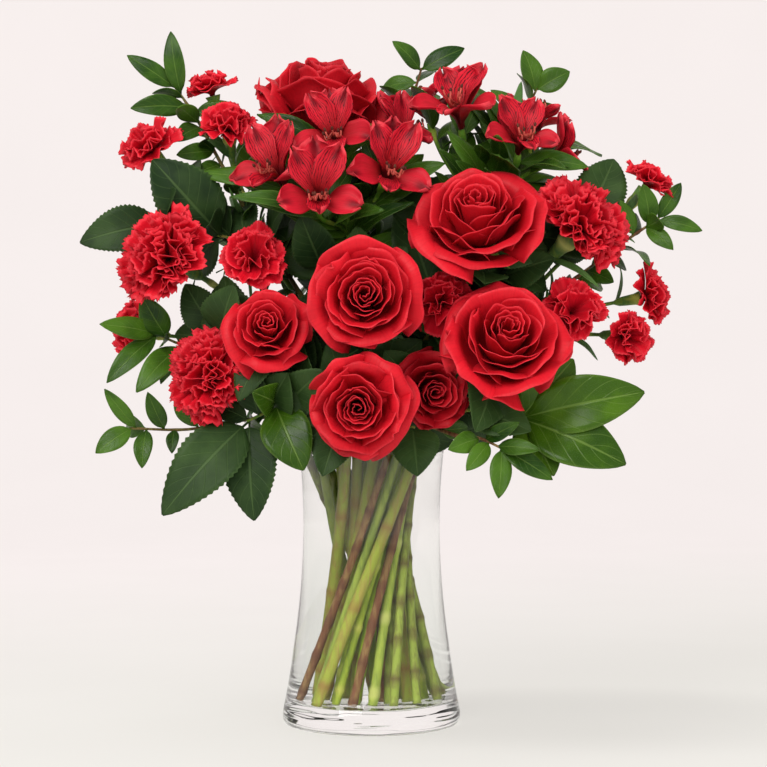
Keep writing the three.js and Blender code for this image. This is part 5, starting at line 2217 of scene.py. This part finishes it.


# Each petal finish's root colour is painted shade and its rim colour a painted highlight.
ROSE_PETAL = PetalFinish(
    "rose_petal", (0.36, 0.003, 0.01), (0.67, 0.01, 0.022), (0.75, 0.026, 0.042),
    veins=0.2, lip=0.96)
CARNATION_PETAL = PetalFinish(
    "carnation_petal", (0.28, 0.001, 0.008), (0.67, 0.006, 0.02), (0.8, 0.03, 0.05),
    veins=0.28, lip=0.92)
ALSTROEMERIA_PETAL = PetalFinish(
    "alstroemeria_petal", (0.32, 0.01, 0.01), (0.62, 0.01, 0.028), (0.74, 0.05, 0.07),
    veins=0.35, stripes=(0.045, 0.001, 0.004))
FILAMENT = StemFinish(
    "filament", (0.45, 0.08, 0.06), (0.45, 0.08, 0.06), (0.4, 0.1, 0.06), (0.3, 0.05, 0.04))
ANTHER = StemFinish(
    "anther", (0.1, 0.025, 0.015), (0.1, 0.025, 0.015), (0.08, 0.02, 0.012), (0.05, 0.01, 0.01))
GLASS = ClearFinish("clear_glass", (0.985, 0.992, 0.988), 1.5, 0.04, 1.3)
WATER = ClearFinish("clear_water", (0.992, 0.998, 0.99), 1.33, 0.0, 0.0)

LEAF_FINISHES = {
    Form.ROSE: LeafFinish(
        "rose_leaf", (0.008, 0.024, 0.006), (0.036, 0.075, 0.017), (0.08, 0.14, 0.042), show=0.45),
    Form.SPRIG: LeafFinish(
        "sprig_leaf", (0.008, 0.034, 0.003), (0.066, 0.155, 0.012), (0.16, 0.27, 0.05),
        pairs=7, rough=0.28, gloss=0.24, show=0.4),
    Form.STRAP: LeafFinish(
        "strap_leaf", (0.04, 0.11, 0.028), (0.1, 0.21, 0.05), (0.2, 0.34, 0.11),
        pairs=0, slant=60, show=0.25),
    Form.LOBE: LeafFinish(
        "lobe_leaf", (0.012, 0.042, 0.003), (0.062, 0.14, 0.006), (0.16, 0.26, 0.05),
        pairs=6, rough=0.26, gloss=0.24, show=0.5),
}

# Each stem finish's low colour, used inside the vase, is painted brighter as if lit through the glass.
STEM_FINISHES = {
    Kind.ROSE: StemFinish(
        "rose_stem", (0.29, 0.34, 0.045), (0.1, 0.2, 0.025), (0.26, 0.16, 0.04), (0.3, 0.2, 0.06),
        flecks=0.35),
    Kind.CARNATION: StemFinish(
        "carnation_stem", (0.32, 0.4, 0.06), (0.07, 0.15, 0.045), (0.48, 0.5, 0.15),
        (0.17, 0.25, 0.04), flecks=0.3),
    Kind.SPRAY: StemFinish(
        "spray_stem", (0.31, 0.4, 0.035), (0.075, 0.16, 0.035), (0.44, 0.46, 0.09),
        (0.16, 0.24, 0.03), flecks=0.3),
    Kind.ALSTROEMERIA: StemFinish(
        "alstroemeria_stem", (0.33, 0.46, 0.025), (0.09, 0.22, 0.02), (0.42, 0.54, 0.08),
        (0.17, 0.29, 0.03), flecks=0.3),
    Kind.WOODY: StemFinish(
        "woody_stem", (0.16, 0.065, 0.03), (0.1, 0.045, 0.022), (0.12, 0.05, 0.025),
        (0.28, 0.19, 0.07), 0.6, 0.6),
    Kind.STALK: StemFinish(
        "leaf_stalk", (0.29, 0.37, 0.06), (0.08, 0.2, 0.03), (0.3, 0.36, 0.07), (0.15, 0.22, 0.04)),
}

# Shoots that are woody in the part's record but green to look at under the water, where their low
# colour is also painted brighter.
GREEN_SHOOT = StemFinish(
    "green_shoot", (0.29, 0.37, 0.06), (0.09, 0.055, 0.022), (0.13, 0.1, 0.03), (0.15, 0.15, 0.04))
GREEN_SHOOTS = (
    "sprig_1", "sprig_3", "sprig_6", "sprig_7", "back_spray_1", "back_spray_2", "back_spray_3")

# The record's slots of stems that aren't flower stems.
STEM_SLOTS = {Kind.WOODY: "woody_stem", Kind.STALK: "leaf"}

# The thickness of rose and alstroemeria petals, carnation petals and leaves, in millimetres.
PETAL_SHEET, FRILL_SHEET, LEAF_SHEET = 0.4, 0.3, 0.35

ROSES = {
    "rose_1": Rose(petals=31, open=0.97, point=0.38, curl=0.18, shade=-0.06, spread=1.08),
    "rose_2": Rose(petals=29, point=0.26, curl=0.18, shade=0.08, spread=1.14, rise=1.08),
    "rose_3": Rose(petals=28, point=0.3, curl=0.22, spread=1.12, rise=1.08),
    "rose_4": Rose(petals=30, point=0.55, curl=0.3, shade=0.06),
    "rose_5": Rose(petals=25, open=0.95, shade=0.2),
    "rose_6": Rose(petals=23, open=0.97, point=0.46, curl=0.26, shade=0.12),
    "rose_7": Rose(petals=31, open=0.97, point=0.38, curl=0.2, shade=0.28, spread=1.12, rise=1.12),
}
CARNATION = Ruffled(44, 26, 8, 0.34, 0.54, 0.14, 0.035, rag=0.15)
SPRAY_BLOOM = Ruffled(17, 24, 8, 0.42, 0.57, 0.14, 0.02, rag=0.2, dome=0.3, droop=84, skirt=6)


def build_blooms(seats: dict[str, Seat]) -> None:
    """Builds the petals of every bloom.

    Args:
        seats: where each bloom sits, by name.
    """
    rose = [ROSE_PETAL.build()]
    carnation = [CARNATION_PETAL.build()]
    floret = [finish.build() for finish in (ALSTROEMERIA_PETAL, FILAMENT, ANTHER)]
    for name, seat in seats.items():
        piece = Piece(f"{name}_petals")
        if seat.flower.kind is Kind.ROSE:
            ROSES[name].build(piece, seat)
            piece.finish(rose, [name], "rose_petal", PETAL_SHEET)
        elif seat.flower.kind is Kind.ALSTROEMERIA:
            Floret().build(piece, seat)
            piece.finish(floret, [name], "alstroemeria_petal", PETAL_SHEET)
        else:
            bloom = CARNATION if seat.flower.kind is Kind.CARNATION else SPRAY_BLOOM
            bloom.build(piece, seat)
            piece.finish(carnation, [name], "carnation_petal", FRILL_SHEET)


def build_plants(grown: dict[str, Grown], seats: dict[str, Seat]) -> None:
    """Builds the stems and leaves of every plant.

    Args:
        grown: the plants as they grew, by name.
        seats: where each bloom sits, by name.
    """
    stems = {kind: finish.build() for kind, finish in STEM_FINISHES.items()}
    green = GREEN_SHOOT.build()
    blades = [LEAF_FINISHES[form].build() for form in Form]
    leafage, work = Leafage(), StemWork()
    leafage.extra(grown, seats)
    for name, plant in grown.items():
        kind = plant.plant.kind
        stem = Piece(f"{name}_shoot")
        work.build(stem, plant, seats)
        skin = green if name in GREEN_SHOOTS else stems[kind]
        stem.finish([skin], [name], STEM_SLOTS.get(kind, "flower_stem"))
        if plant.leaves:
            piece = Piece(f"{name}_leaves")
            for leaf in plant.leaves:
                leafage.build(piece, leaf, list(Form).index(leaf.form))
            piece.finish(blades, [name], "leaf", LEAF_SHEET)


def main() -> None:
    """Builds the whole scene."""
    logging.basicConfig(level=logging.INFO, format="%(message)s", stream=sys.stdout)
    Studio().build()
    seats = {flower.name: Seat(flower) for flower in FLOWERS}
    grown = Growth(seats).grow()
    build_blooms(seats)
    build_plants(grown, seats)
    Vase().build()
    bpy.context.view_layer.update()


if __name__ == "__main__":
    main()
